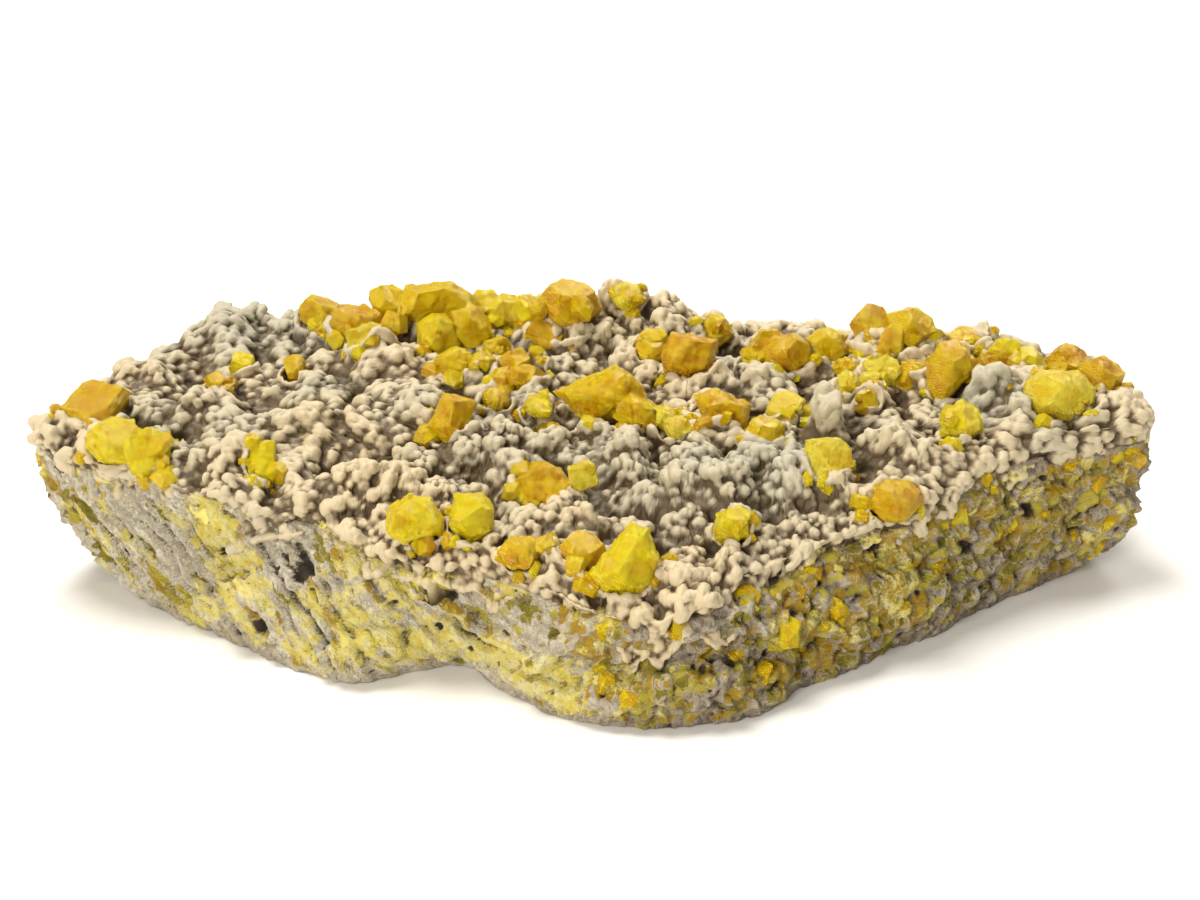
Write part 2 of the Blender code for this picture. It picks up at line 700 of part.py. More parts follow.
def member_object(name, member, finish, grow=0.0):
    """One crystal in its place; grow sets every face further out, for the socket that holds it."""
    if member.outline:
        faces = outline_faces(member.outline, member.fronts, member.size)
    else:
        faces = habit_faces(HABITS[member.habit], member.size)
    faces = [(direction, reach + grow) for direction, reach in faces]
    bm = faceted(faces, member.size)
    turn = Euler([math.radians(a) for a in member.turn]).to_matrix().to_4x4()
    z = even_crust(member.x, member.y) + member.lift
    place = Matrix.Translation(Vector((member.x, member.y, z)) * MM)
    bmesh.ops.transform(bm, matrix=place @ turn, verts=bm.verts[:])
    return mesh_object(name, bm, finish)


def build_crystals(finishes):
    """Each node's members joined in one solid, and a grown copy of each member to cut its socket with."""
    nodes, sockets = [], []
    for crystal in CRYSTALS:
        first, *others = crystal.members
        node = member_object(crystal.name, first, finishes[crystal.tone])
        for n, member in enumerate(others, 2):
            boolean(node, as_helper(member_object(f"{crystal.name} member {n}", member, None)), "UNION")
        nodes.append(node)
        sockets.append(
            [
                as_helper(member_object(f"{crystal.name} socket {n}", member, None, SEAM_GAP))
                for n, member in enumerate(crystal.members, 1)
            ]
        )
    return nodes, sockets


def near(members, others):
    """Whether any two crystals of two nodes come close enough to touch."""
    return any(
        (a.x - b.x) ** 2 + (a.y - b.y) ** 2 < (1.1 * (a.size + b.size)) ** 2 for a in members for b in others
    )


def main():
    clear_scene()
    rock = material("limestone", (0.42, 0.38, 0.30), 0.9)
    crust_finish = material("aragonite", (0.62, 0.56, 0.46), 0.6)
    finishes = {tone: material(f"sulfur {tone}", colour, 0.2) for tone, colour in TONES.items()}
    matrix = build_matrix(rock)
    crust = build_crust(crust_finish)
    nodes, sockets = build_crystals(finishes)
    cutters = bpy.data.collections.new("sockets")
    bpy.context.scene.collection.children.link(cutters)
    for number, crystal in enumerate(CRYSTALS):
        for socket in sockets[number]:
            cutters.objects.link(socket)
        for earlier in range(number):
            if near(crystal.members, CRYSTALS[earlier].members):
                for socket in sockets[earlier]:
                    boolean(nodes[number], socket, "DIFFERENCE")
    for body in (matrix, crust):
        step = body.modifiers.new("sockets", "BOOLEAN")
        step.operation = "DIFFERENCE"
        step.solver = "EXACT"
        step.operand_type = "COLLECTION"
        step.collection = cutters


main()
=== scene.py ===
"""Looks of a native sulfur specimen: a wedge-fronted slab of bedded limestone with sulfur in its seams,
the crust of grown-together aragonite nodules over it, and the sulfur crystals that stand in the crust.
Sizes are millimetres."""

import math
from collections import namedtuple
from itertools import product

import bmesh
import bpy
import numpy as np
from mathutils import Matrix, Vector


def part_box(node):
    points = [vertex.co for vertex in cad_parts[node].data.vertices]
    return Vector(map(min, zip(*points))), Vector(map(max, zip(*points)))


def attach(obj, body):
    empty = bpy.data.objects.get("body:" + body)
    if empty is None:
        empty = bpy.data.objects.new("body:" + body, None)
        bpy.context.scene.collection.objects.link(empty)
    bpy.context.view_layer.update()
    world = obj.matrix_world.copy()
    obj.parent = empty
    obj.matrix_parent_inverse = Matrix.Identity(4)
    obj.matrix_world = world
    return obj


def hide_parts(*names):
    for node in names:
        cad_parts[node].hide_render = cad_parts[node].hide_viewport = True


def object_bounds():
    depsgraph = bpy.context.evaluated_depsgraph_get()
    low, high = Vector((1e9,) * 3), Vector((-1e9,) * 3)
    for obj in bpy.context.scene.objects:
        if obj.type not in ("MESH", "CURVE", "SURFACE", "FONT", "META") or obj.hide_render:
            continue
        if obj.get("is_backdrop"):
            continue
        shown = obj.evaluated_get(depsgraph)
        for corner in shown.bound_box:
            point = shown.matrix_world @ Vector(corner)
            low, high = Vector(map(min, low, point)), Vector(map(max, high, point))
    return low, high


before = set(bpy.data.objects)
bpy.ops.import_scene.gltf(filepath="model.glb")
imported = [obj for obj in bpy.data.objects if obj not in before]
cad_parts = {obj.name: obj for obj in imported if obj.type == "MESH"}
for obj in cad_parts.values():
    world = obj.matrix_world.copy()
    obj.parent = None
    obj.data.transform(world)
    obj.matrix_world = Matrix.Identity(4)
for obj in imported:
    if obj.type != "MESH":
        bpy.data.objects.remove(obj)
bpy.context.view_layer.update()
MM = 0.001

# ---------------------------------------------------------------- the limestone slab
# The slab is bedded limestone, split from its seam with a hammer: thin beds dip to the front, soft ones are
# worn back, and sulfur fills seams, blocks and holes between them. It rests on the flat cut under it.

RIM_PLAN = [
    (143, 6), (136, 20), (129, 38), (116, 53), (92, 64), (60, 70), (25, 75), (-15, 76), (-55, 74),
    (-88, 69), (-109, 59), (-124, 41), (-134, 20), (-140, 6), (-142, -4), (-129, -15), (-112, -19),
    (-92, -30), (-76, -36), (-63, -40), (-53, -49), (-42, -55), (-29, -55), (-17, -61), (-4, -69),
    (10, -74), (23, -71), (33, -60), (43, -53), (55, -45), (66, -39), (80, -33), (91, -21), (102, -12),
    (118, -6), (133, -4),
]
FOOT_PLAN = [
    (123, 4), (127, 24), (114, 46), (86, 58), (40, 64), (0, 67), (-45, 65), (-84, 58), (-110, 42),
    (-122, 18), (-122, -3), (-112, -16), (-92, -32), (-72, -48), (-60, -57), (-50, -56), (-40, -48),
    (-30, -48), (-21, -61), (-8, -72), (14, -77), (34, -73), (46, -59), (68, -41), (91, -22),
    (106, -9),
]
CRUST_LEVEL = 44.0  # the crust's even surface over the foot
CRUST_RISE = 0.13
CRUST_BOW = 0.0014
CRUST_DEPTH = 11.0
EDGE_THIN = 4.0
RING_INSET = 2.0
LID_HEIGHT = 30.0
WALL_BELLY = 2.4
BED_DIP = 45.0  # degrees down towards the front
BED_TURN = -0.2
BED_THICKNESS = 7.5
BED_RELIEF = 2.4
PLATE_THICKNESS = 5.5
BLOCK_CELL = 4.4
PIT_CELL = 3.4
KNOB_CELL = 2.4
RIM_SAMPLES = 2880
WALL_AROUND = 1380
WALL_ROWS = 62

# Where sulfur is thickest or missing on the front wall: middle, half-sizes, and how much more there is of
# matt lemon powder and of solid gold sulfur.
Patch = namedtuple("Patch", "x z across high lemon gold")
SULFUR_PATCHES = [
    Patch(-130, 22, 5, 7, 0.1, 0.6),
    Patch(-120, 15, 5, 6, 0.3, 0.3),
    Patch(-105, 3, 9, 4, 0.0, 0.5),
    Patch(-93, 11, 5, 8, 0.4, 0.2),
    Patch(-90, 30, 7, 7, 0.5, 0.0),
    Patch(-82, 18, 7, 6, 0.6, 0.1),
    Patch(-72, 5, 9, 3, 0.2, 0.3),
    Patch(-67, 17, 5, 5, 0.4, 0.3),
    Patch(-65, 31, 4, 6, 0.5, 0.1),
    Patch(-56, 24, 5, 10, 0.2, 0.6),
    Patch(-57, 11, 5, 6, 0.4, 0.5),
    Patch(-45, 9, 7, 6, 0.5, 0.1),
    Patch(-43, 25, 5, 6, 0.3, 0.3),
    Patch(-30, 10, 8, 5, 0.4, 0.0),
    Patch(-21, 23, 5, 6, 0.1, 0.5),
    Patch(-11, 10, 7, 6, 0.6, 0.0),
    Patch(-4, 25, 7, 5, 0.4, 0.2),
    Patch(7, 10, 9, 5, 0.1, 0.35),
    Patch(17, 19, 4, 4, 0.0, 0.5),
    Patch(32, 25, 5, 5, 0.3, 0.3),
    Patch(50, 20, 12, 14, 0.2, 0.35),
    Patch(75, 22, 14, 14, 0.25, 0.4),
    Patch(100, 30, 12, 16, 0.15, 0.5),
    Patch(122, 32, 14, 14, 0.1, 0.45),
    Patch(-101, 20, 5, 7, -0.5, -0.4),
    Patch(-113, 24, 6, 5, -0.4, -0.4),
    Patch(-75, 27, 7, 7, -0.5, -0.5),
    Patch(21, 27, 9, 8, -0.5, -0.5),
    Patch(-45, 36, 8, 5, -0.4, -0.4),
]

# Small rounded nodules on the wall: middle and half-sizes. Then its niches, sunk and painted dark as shade:
# middle and radius.
KNOB_PATCHES = [
    (-73, 24, 8, 8), (21, 27, 10, 7), (-108, 34, 8, 5), (104, 38, 8, 5), (-40, 36, 9, 4), (62, 36, 10, 5),
]
NICHES = [
    (-75, 32, 2.5), (-69, 22, 2.0), (-104, 34, 1.5), (-80, 7, 1.5), (39, 26, 2.0), (30, 25, 1.5),
    (15, 22, 3.0), (63, 28, 2.5), (88, 19, 1.5), (101, 32, 2.0), (106, 23, 1.5), (64, 27, 2.0),
    (111, 37, 2.0), (-34, 20, 1.5),
]


def plan_radius(plan, angle):
    """Distance of a plan outline from the origin at an angle: its corners, joined in polar terms."""
    corners = np.array(plan, float)
    turn = np.arctan2(corners[:, 1], corners[:, 0])
    reach = np.hypot(corners[:, 0], corners[:, 1])
    steps = np.linspace(0, 2 * math.pi, 720, endpoint=False)
    table = np.interp(steps, turn, reach, period=2 * math.pi)
    table = sum(np.roll(table, k) for k in range(-5, 6)) / 11
    return np.interp(angle, steps, table, period=2 * math.pi)


def seam_height(x, y, share):
    """The face between crust and rock: a slope that rises to the back, with long waves and a raised edge."""
    waves = 1.0 * np.sin(x / 17 + 1) + 0.8 * np.sin(y / 13 + x / 31)
    slope = CRUST_RISE * y - CRUST_BOW * y**2
    return CRUST_LEVEL - CRUST_DEPTH + slope + waves + EDGE_THIN * share**3


def chance(i, j, k, salt):
    """A fixed number from 0 to 1 for each whole-number triple: the fraction of a large sine. The salt sets
    one use of it apart from another."""
    return np.mod(np.sin(i * 127.1 + j * 311.7 + k * 74.7 + salt * 53.3) * 43758.5453, 1.0)


def cloud(place, size, salt):
    """Soft noise from -1 to 1: chance numbers at the corners of cubic cells of this size, eased between."""
    cell = np.floor(place / size)
    part = place / size - cell
    part = part * part * (3 - 2 * part)
    total = np.zeros(place.shape[:-1])
    for corner in product((0, 1), repeat=3):
        share = [part[..., n] if corner[n] else 1 - part[..., n] for n in range(3)]
        own = chance(*(cell[..., n] + corner[n] for n in range(3)), salt)
        total += own * share[0] * share[1] * share[2]
    return 2 * total - 1


def clouds(place, size, salt, count=4, fade=0.5):
    """Several soft noises added, each half the size of the one before and fade times its strength."""
    return sum(cloud(place, size / 2**n, salt + n) * fade**n for n in range(count))


def near_points(place, size, salt):
    """For each of the 27 cubic cells round every place: the cell's chance point and its whole numbers."""
    corner = np.floor(place / size)
    for step in product((-1, 0, 1), repeat=3):
        cell = [corner[..., axis] + step[axis] for axis in range(3)]
        point = np.stack([cell[axis] + chance(*cell, salt + axis) for axis in range(3)], -1) * size
        yield point, cell


def crumbs(place, size, salt):
    """A point by chance in each cubic cell: the nearest one's distance, the way from it, its own number."""
    first = np.full(place.shape[:-1], 9.0 * size)
    away = np.zeros_like(place)
    own = np.zeros_like(first)
    for point, cell in near_points(place, size, salt):
        gap = place - point
        far = np.sqrt((gap**2).sum(-1))
        nearer = far < first
        first = np.where(nearer, far, first)
        away = np.where(nearer[..., None], gap, away)
        own = np.where(nearer, chance(*cell, salt + 3), own)
    return first, away, own


def ball_crowd(place, size, least, most, salt, melt):
    """Height of a crowd of balls that sit half in a skin, one in each cubic cell, melted into one another.
    It is the logarithm of the summed exponentials of their heights: the highest ball, with filled creases."""
    total = np.ones(place.shape[:-1])
    for point, cell in near_points(place, size, salt):
        ball = size * (least + (most - least) * chance(*cell, salt + 3))
        left = ball**2 - ((place - point) ** 2).sum(-1)
        total += np.exp(np.sqrt(np.maximum(left, 0)) / melt) - 1
    return np.log(total) * melt


def ease(value, low, high):
    """0 below low, 1 above high, and a smooth step between."""
    t = np.clip((value - low) / (high - low), 0, 1)
    return t * t * (3 - 2 * t)


def outward(points, wrapped):
    """Unit normals of a grid: the cross product of its two directions. wrapped closes the first one."""
    if wrapped:
        along = np.roll(points, -1, 0) - np.roll(points, 1, 0)
    else:
        along = np.gradient(points, axis=0)
    normal = np.cross(along, np.gradient(points, axis=1))
    return normal / np.maximum(np.linalg.norm(normal, axis=-1, keepdims=True), 1e-9)


def smeared(values, reach):
    """Mean of a grid over a square window, taken with running sums, the edge repeated outside it."""
    for axis in (0, 1):
        before = np.repeat(values.take([0], axis), reach + 1, axis)
        after = np.repeat(values.take([-1], axis), reach, axis)
        padded = np.concatenate([before, values, after], axis)
        total = padded.cumsum(axis)
        size = values.shape[axis]
        high = total.take(np.arange(2 * reach + 1, 2 * reach + 1 + size), axis)
        values = (high - total.take(np.arange(size), axis)) / (2 * reach + 1)
    return values


def standing_out(place, normals, reach):
    """How far each point of a grid stands over the mean of its neighbours, along its own normal."""
    mean = np.stack([smeared(place[..., n], reach) for n in range(3)], -1)
    return ((place - mean) * smooth_ups(normals, reach)).sum(-1)


def smooth_ups(normals, reach):
    """Unit normals averaged over a square window of the grid."""
    mean = np.stack([smeared(normals[..., n], reach) for n in range(3)], -1)
    return mean / np.maximum(np.linalg.norm(mean, axis=-1, keepdims=True), 1e-6)


def wrapped_quads(around, rows):
    """Quads of a grid whose first direction closes on itself, facing away from the axis."""
    k, r = np.meshgrid(np.arange(around), np.arange(rows - 1), indexing="ij")
    here, after = k * rows + r, ((k + 1) % around) * rows + r
    return np.stack([here, after, after + 1, here + 1], -1).reshape(-1, 4)


def placed(name, data):
    """A new object of this mesh, light or camera, linked to the scene."""
    made = bpy.data.objects.new(name, data)
    bpy.context.scene.collection.objects.link(made)
    return made


def piece(name, points, faces, marks, finish, normals=None, smooth=True):
    """A mesh object: points in millimetres, faces of three or four corners, and marks, which are one number
    or one place for each point."""
    corners = np.concatenate([f.ravel() for f in faces]).astype(np.int32)
    sizes = np.concatenate([np.full(len(f), f.shape[1]) for f in faces])
    starts = np.concatenate([[0], np.cumsum(sizes)[:-1]]).astype(np.int32)
    mesh = bpy.data.meshes.new(name)
    mesh.vertices.add(len(points))
    mesh.loops.add(len(corners))
    mesh.polygons.add(len(sizes))
    mesh.vertices.foreach_set("co", (points * MM).astype(np.float32).ravel())
    mesh.loops.foreach_set("vertex_index", corners)
    mesh.polygons.foreach_set("loop_start", starts)
    mesh.polygons.foreach_set("use_smooth", np.full(len(sizes), smooth))
    mesh.update(calc_edges=True)
    for mark, values in marks.items():
        vector = np.ndim(values) == 2
        layer = mesh.attributes.new(mark, "FLOAT_VECTOR" if vector else "FLOAT", "POINT")
        layer.data.foreach_set("vector" if vector else "value", np.asarray(values, np.float32).ravel())
    if normals is not None:
        mesh.normals_split_custom_set_from_vertices(normals.reshape(-1, 3).astype(np.float32))
    mesh.materials.append(finish)
    made = placed(name, mesh)
    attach(made, "root")
    return made


def plug(tree, node, values=(), feeds=()):
    """Gives some sockets of a node plain values, and feeds others from sockets."""
    for name, value in dict(values).items():
        node.inputs[name].default_value = value
    for name, source in dict(feeds).items():
        tree.links.new(source, node.inputs[name])
    return node


def put(tree, kind, values=(), feeds=(), **settings):
    """Adds a shader node with its settings, the plain values of its sockets and the sockets that feed it."""
    made = tree.nodes.new(kind)
    for name, value in settings.items():
        setattr(made, name, value)
    return plug(tree, made, values, feeds)


def noise(tree, where, size, detail=3.0, roughness=0.55, stretch=None):
    """Noise of blobs about this many millimetres across, as its factor socket."""
    if stretch:
        turning = {"Scale": stretch[0], "Rotation": stretch[1]}
        where = put(tree, "ShaderNodeMapping", turning, {"Vector": where}).outputs["Vector"]
    values = {"Scale": 1000 / size, "Detail": detail, "Roughness": roughness}
    return put(tree, "ShaderNodeTexNoise", values, {"Vector": where}).outputs["Fac"]


def ramp(tree, value, low, high):
    """0 below low and 1 above high, smooth between."""
    values = {"From Min": low, "From Max": high}
    made = put(tree, "ShaderNodeMapRange", values, {"Value": value}, interpolation_type="SMOOTHSTEP")
    return made.outputs["Result"]


def arithmetic(tree, operation, a, b):
    """One step of arithmetic on sockets or plain numbers."""
    terms = {0: a, 1: b}
    values = {n: term for n, term in terms.items() if isinstance(term, (int, float))}
    feeds = {n: term for n, term in terms.items() if n not in values}
    return put(tree, "ShaderNodeMath", values, feeds, operation=operation).outputs[0]


def plus(tree, a, b):
    return arithmetic(tree, "ADD", a, b)


def minus(tree, a, b):
    return arithmetic(tree, "SUBTRACT", a, b)


def times(tree, a, b):
    return arithmetic(tree, "MULTIPLY", a, b)


def tint(tree, amount, a, b):
    """Colour a turning into colour b by an amount socket. Each colour is a socket or three numbers."""
    colours = {6: a, 7: b}
    values = {n: (*colour, 1) for n, colour in colours.items() if isinstance(colour, tuple)}
    feeds = {n: colour for n, colour in colours.items() if n not in values}
    return put(tree, "ShaderNodeMix", values, {0: amount, **feeds}, data_type="RGBA").outputs[2]


def spread(tree, value, low, high, start=0.0, end=1.0):
    """A value from start to end, drawn out evenly to the range from low to high."""
    values = {"From Min": start, "From Max": end, "To Min": low, "To Max": high}
    return put(tree, "ShaderNodeMapRange", values, {"Value": value}).outputs["Result"]


def bumped(tree, height, strength, distance):
    """The normal of a surface with this height, a height of 1 being this many metres."""
    values = {"Strength": strength, "Distance": distance}
    return put(tree, "ShaderNodeBump", values, {"Height": height}).outputs["Normal"]


def mark_of(tree, name):
    """The number that the mesh carries under this name, as a socket."""
    return put(tree, "ShaderNodeAttribute", attribute_name=name).outputs["Fac"]


def new_finish(name):
    """A material with its node tree, its Principled shader and the object's own coordinates."""
    made = bpy.data.materials.new(name)
    made.use_nodes = True
    tree = made.node_tree
    where = put(tree, "ShaderNodeTexCoord").outputs["Object"]
    return made, tree, tree.nodes["Principled BSDF"], where


ROCK_DARK = (0.13, 0.10, 0.062)
ROCK_LIGHT = (0.36, 0.28, 0.185)
DUSTY_DARK = (0.40, 0.335, 0.225)
DUSTY_LIGHT = (0.90, 0.84, 0.64)
VEIN_PINK = (0.60, 0.49, 0.34)
RIDGE_AND_HIGHLIGHT_WHITE = (0.80, 0.74, 0.60)
POWDER_LEMON = (0.88, 0.72, 0.11)
POWDER_PALE = (0.92, 0.83, 0.38)
GRAIN_GOLD = (0.46, 0.275, 0.01)
GRAIN_OLIVE = (0.25, 0.20, 0.016)
GRAIN_LEMON = (0.55, 0.45, 0.04)
# Dark brown painted shade for pits, creases, low places and niches.
HOLLOW_SHADE_BROWN = (0.06, 0.042, 0.023)
MIDDLE_GREY = {1: (0.5, 0.5, 0.5)}  # taken from a colour, it leaves numbers from -0.5 to 0.5
MOSAIC_TILT = 2400


def mosaic(tree, where, size):
    """Grains about this many millimetres across: three chance numbers of each, the distance to its edge,
    and a height that tilts each grain its own way."""
    values, feeds = {"Scale": 1000 / size}, {"Vector": where}
    cells = put(tree, "ShaderNodeTexVoronoi", values, feeds)
    edges = put(tree, "ShaderNodeTexVoronoi", values, feeds, feature="DISTANCE_TO_EDGE")
    numbers = put(tree, "ShaderNodeSeparateColor", {}, {"Color": cells.outputs["Color"]}).outputs
    feeds = {0: where, 1: cells.outputs["Position"]}
    across = put(tree, "ShaderNodeVectorMath", {}, feeds, operation="SUBTRACT")
    lean = put(tree, "ShaderNodeVectorMath", MIDDLE_GREY, {0: cells.outputs["Color"]}, operation="SUBTRACT")
    feeds = {0: across.outputs["Vector"], 1: lean.outputs["Vector"]}
    tilt = put(tree, "ShaderNodeVectorMath", {}, feeds, operation="DOT_PRODUCT").outputs["Value"]
    return numbers, edges.outputs["Distance"], times(tree, tilt, MOSAIC_TILT / size)


def bent_place(tree, where, base, scale, reach):
    """The base place moved to and fro by noise of this scale, by up to this many metres."""
    swirl = put(tree, "ShaderNodeTexNoise", {"Scale": scale, "Detail": 3.0}, {"Vector": where})
    feeds = {0: swirl.outputs["Color"], 2: base}
    moved = put(tree, "ShaderNodeVectorMath", {1: (reach, reach, reach)}, feeds, operation="MULTIPLY_ADD")
    return moved.outputs["Vector"]


def limestone_finish():
    """Rock and sulfur grains like a mosaic: a grain is sulfur where its chance number is under the solid
    mark, and gold, olive or lemon by a second one. Pinkish veins run between, and lemon powder lies
    over them by its mark."""
    finish, tree, shader, where = new_finish("bedded limestone")
    beds = put(tree, "ShaderNodeAttribute", attribute_name="beds").outputs["Vector"]
    bent = bent_place(tree, where, beds, 400.0, 0.004)
    grain = noise(tree, where, 1.2, 7.0, 0.75)
    pale = mark_of(tree, "pale")
    solid = mark_of(tree, "solid")
    speckle = ramp(tree, grain, 0.36, 0.62)
    dusty = tint(tree, speckle, DUSTY_DARK, DUSTY_LIGHT)
    rock = tint(tree, pale, tint(tree, speckle, ROCK_DARK, ROCK_LIGHT), dusty)
    crisp = noise(tree, where, 0.8, 5.0, 0.75)
    # Whitish rims of the plates, and painted highlight on edges that stand out.
    ridge = times(tree, mark_of(tree, "ridge"), ramp(tree, crisp, 0.34, 0.54))
    colour = tint(tree, ridge, rock, RIDGE_AND_HIGHLIGHT_WHITE)
    height = plus(tree, times(tree, grain, 0.9), times(tree, crisp, 0.5))
    gloss = None
    for size, share in ((5.2, 0.8), (2.6, 0.9)):
        numbers, edge, tilt = mosaic(tree, bent, size)
        chosen = minus(tree, times(tree, solid, share), numbers["Red"])
        inside = ramp(tree, edge, 0.03, 0.09)
        mask = times(tree, ramp(tree, chosen, -0.02, 0.02), inside)
        hue = tint(tree, ramp(tree, numbers["Green"], 0.35, 0.5), GRAIN_GOLD, GRAIN_OLIVE)
        hue = tint(tree, ramp(tree, numbers["Green"], 0.7, 0.8), hue, GRAIN_LEMON)
        flaw = times(tree, ramp(tree, noise(tree, where, 1.6, 5.0, 0.7), 0.46, 0.66), 0.6)
        hue = tint(tree, flaw, hue, GRAIN_LEMON)
        vein = times(tree, minus(tree, 1.0, inside), 0.45)
        colour = tint(tree, vein, colour, VEIN_PINK)
        colour = tint(tree, mask, colour, hue)
        height = plus(tree, height, times(tree, times(tree, tilt, inside), 0.5))
        gloss = mask if gloss is None else arithmetic(tree, "MAXIMUM", gloss, mask)
    fray = times(tree, minus(tree, noise(tree, bent, 1.6, 7.0, 0.78), 0.5), 1.7)
    powder = times(tree, ramp(tree, plus(tree, mark_of(tree, "powder"), fray), 0.42, 0.62), 0.9)
    faded = ramp(tree, noise(tree, where, 2.4, 5.0, 0.7), 0.40, 0.62)
    lemon = tint(tree, faded, POWDER_LEMON, POWDER_PALE)
    colour = tint(tree, powder, colour, lemon)
    # Painted shade: pits, creases, low places and niches turn dark brown by their mark.
    hollow = plus(tree, mark_of(tree, "shade_in_hollows"), minus(tree, crisp, 0.5))
    colour = tint(tree, ramp(tree, hollow, 0.22, 0.66), colour, HOLLOW_SHADE_BROWN)
    rough = spread(tree, times(tree, gloss, minus(tree, 1.0, powder)), 0.85, 0.30)
    normal = bumped(tree, height, 1.0, 0.0011)
    plug(tree, shader, {}, {"Base Color": colour, "Roughness": rough, "Normal": normal})
    return finish


def bed_relief(place):
    """How far the wall stands out at a point: each bed has its own depth, and eases into the next."""
    dip = math.radians(BED_DIP)
    x, y, z = place[..., 0], place[..., 1], place[..., 2]
    across_beds = (z * math.cos(dip) + (y + BED_TURN * x) * math.sin(dip)) / BED_THICKNESS
    bed = np.floor(across_beds)
    turn = np.clip((across_beds - bed - 0.7) / 0.3, 0, 1)
    old, new = chance(bed, 0, 5, 0), chance(bed + 1, 0, 5, 0)
    return BED_RELIEF * (old * (1 - turn) + new * turn - 0.5) * 2


def bed_place(place):
    """The point in terms of the beds: across them, and along them drawn out, so that noise makes streaks.
    The beds lie level at the right. Further left they dip down to the right and are drawn out most."""
    x, y, z = place[..., 0], place[..., 1], place[..., 2]
    dipping = -12 * np.log1p(np.exp(-(x + 30) / 12))
    draw = 1.4 + 1.8 * ease(-x, -20, 40)
    return np.stack([z + 1.2 * dipping - 0.12 * x, y / draw, x / draw], -1)


def wall_reach(angle, up):
    """Distance of the plain wall from the middle: up is 0 at the foot and 1 at the seam."""
    foot, top = plan_radius(FOOT_PLAN, angle), plan_radius(RIM_PLAN, angle) - RING_INSET
    leaving = 1 - (1 - up) ** WALL_BELLY
    return foot + (top - foot) * np.where(top > foot, leaving, up**2)


def wall_grid():
    """The wall in rows from foot to seam, evenly spaced round the rim, with its beds but no finer relief."""
    turn = np.linspace(0, 2 * math.pi, RIM_SAMPLES + 1)
    rim = plan_radius(RIM_PLAN, turn)
    run = np.hypot(np.diff(rim * np.cos(turn)), np.diff(rim * np.sin(turn))).cumsum()
    angle = np.interp(np.linspace(0, run[-1], WALL_AROUND, endpoint=False), np.r_[0, run], turn)[:, None]
    up = np.linspace(0, 1, WALL_ROWS + 1)[None, :]
    top = plan_radius(RIM_PLAN, angle) - RING_INSET
    reach = wall_reach(angle, up)
    z = seam_height(top * np.cos(angle), top * np.sin(angle), 1.0) * up
    place = np.stack([reach * np.cos(angle), reach * np.sin(angle), z], -1)
    reach = reach + bed_relief(place) * np.sin(math.pi * up)
    return np.stack([reach * np.cos(angle), reach * np.sin(angle), z], -1), up


def slant(lean, own):
    """Height of each cell's sloping face: the way from its middle, along a direction of the cell's own."""
    way = np.stack([np.cos(own * 40), np.sin(own * 57), np.cos(own * 71)], -1)
    return (lean * way).sum(-1)


def bell(place, x, z, across, high):
    """1 at a spot of the front wall, falling off as a smooth bell with these half-sizes."""
    return np.exp(-(((place[..., 0] - x) / across) ** 2) - ((place[..., 2] - z) / high) ** 2)


wall, wall_up = wall_grid()
wall_out = outward(wall, True)
front = ease(-wall_out[..., 1], 0.0, 0.4)
streaks = bed_place(wall)
lemon_more = 0.10 * clouds(wall, 16, 11, 2)
gold_more = 0.10 * clouds(wall, 13, 15, 2)
for patch in SULFUR_PATCHES:
    here = front * bell(wall, patch.x, patch.z, patch.across, patch.high)
    lemon_more = lemon_more + patch.lemon * here
    gold_more = gold_more + patch.gold * here

# Marks: lemon powder, solid sulfur, pale rock, knobbly places, niches and the bright rims of thin plates.
leftward = ease(20 - wall[..., 0], 0, 40) * front
low_down = ease(wall[..., 2], 4, 0)
knob_share = 0.3 * ease(wall_up, 0.75, 1.0) * (1 + cloud(wall, 8, 101))
niche = np.zeros_like(knob_share)
for x, z, across, high in KNOB_PATCHES:
    knob_share = knob_share + front * bell(wall, x, z, across, high)
for x, z, size in NICHES:
    niche = np.maximum(niche, front * bell(wall, x, z, size, size))
knob_share = ease(knob_share + 0.25 * cloud(wall, 4, 103), 0.35, 0.75)
powder = 0.16 + 0.20 * leftward + 0.8 * lemon_more - 0.3 * low_down + 0.30 * clouds(streaks, 4.5, 21, 3)
solid = 0.50 - 0.24 * leftward + 0.7 * gold_more - 0.35 * low_down + 0.30 * clouds(streaks, 8, 31, 3)
solid = np.clip(solid * (1 - 0.8 * knob_share), 0, 0.95)
pale = np.clip(leftward + 0.3 * clouds(wall, 12, 37, 3) - 0.4 * low_down, 0, 1)
plate = streaks[..., 0] / PLATE_THICKNESS + 0.7 * clouds(wall, 13, 41, 3)
plate_part = np.mod(plate, 1.0)
plate_own = chance(np.floor(plate), np.floor(wall[..., 0] / 15 + cloud(wall, 8, 67)), 0, 71)
shingle = plate_part * ease(1 - plate_part, 0.0, 0.22) * (0.35 + plate_own)
stripe = chance(np.floor(plate), 3, 5, 73) - 0.5
powder = powder + 0.24 * clouds(wall, 2.6, 23, 2) + 0.45 * stripe * (0.3 + 0.7 * leftward)
powder = np.clip(powder - 0.45 * knob_share, 0, 1)
ridge = ease(plate_part, 0.55, 0.8) * ease(1 - plate_part, 0.02, 0.15)
ridge = ridge * ease(clouds(streaks, 5, 43, 3), -0.4, 0.5)
ridge = 0.75 * ridge * (0.3 + 0.7 * leftward) * (1 - knob_share)

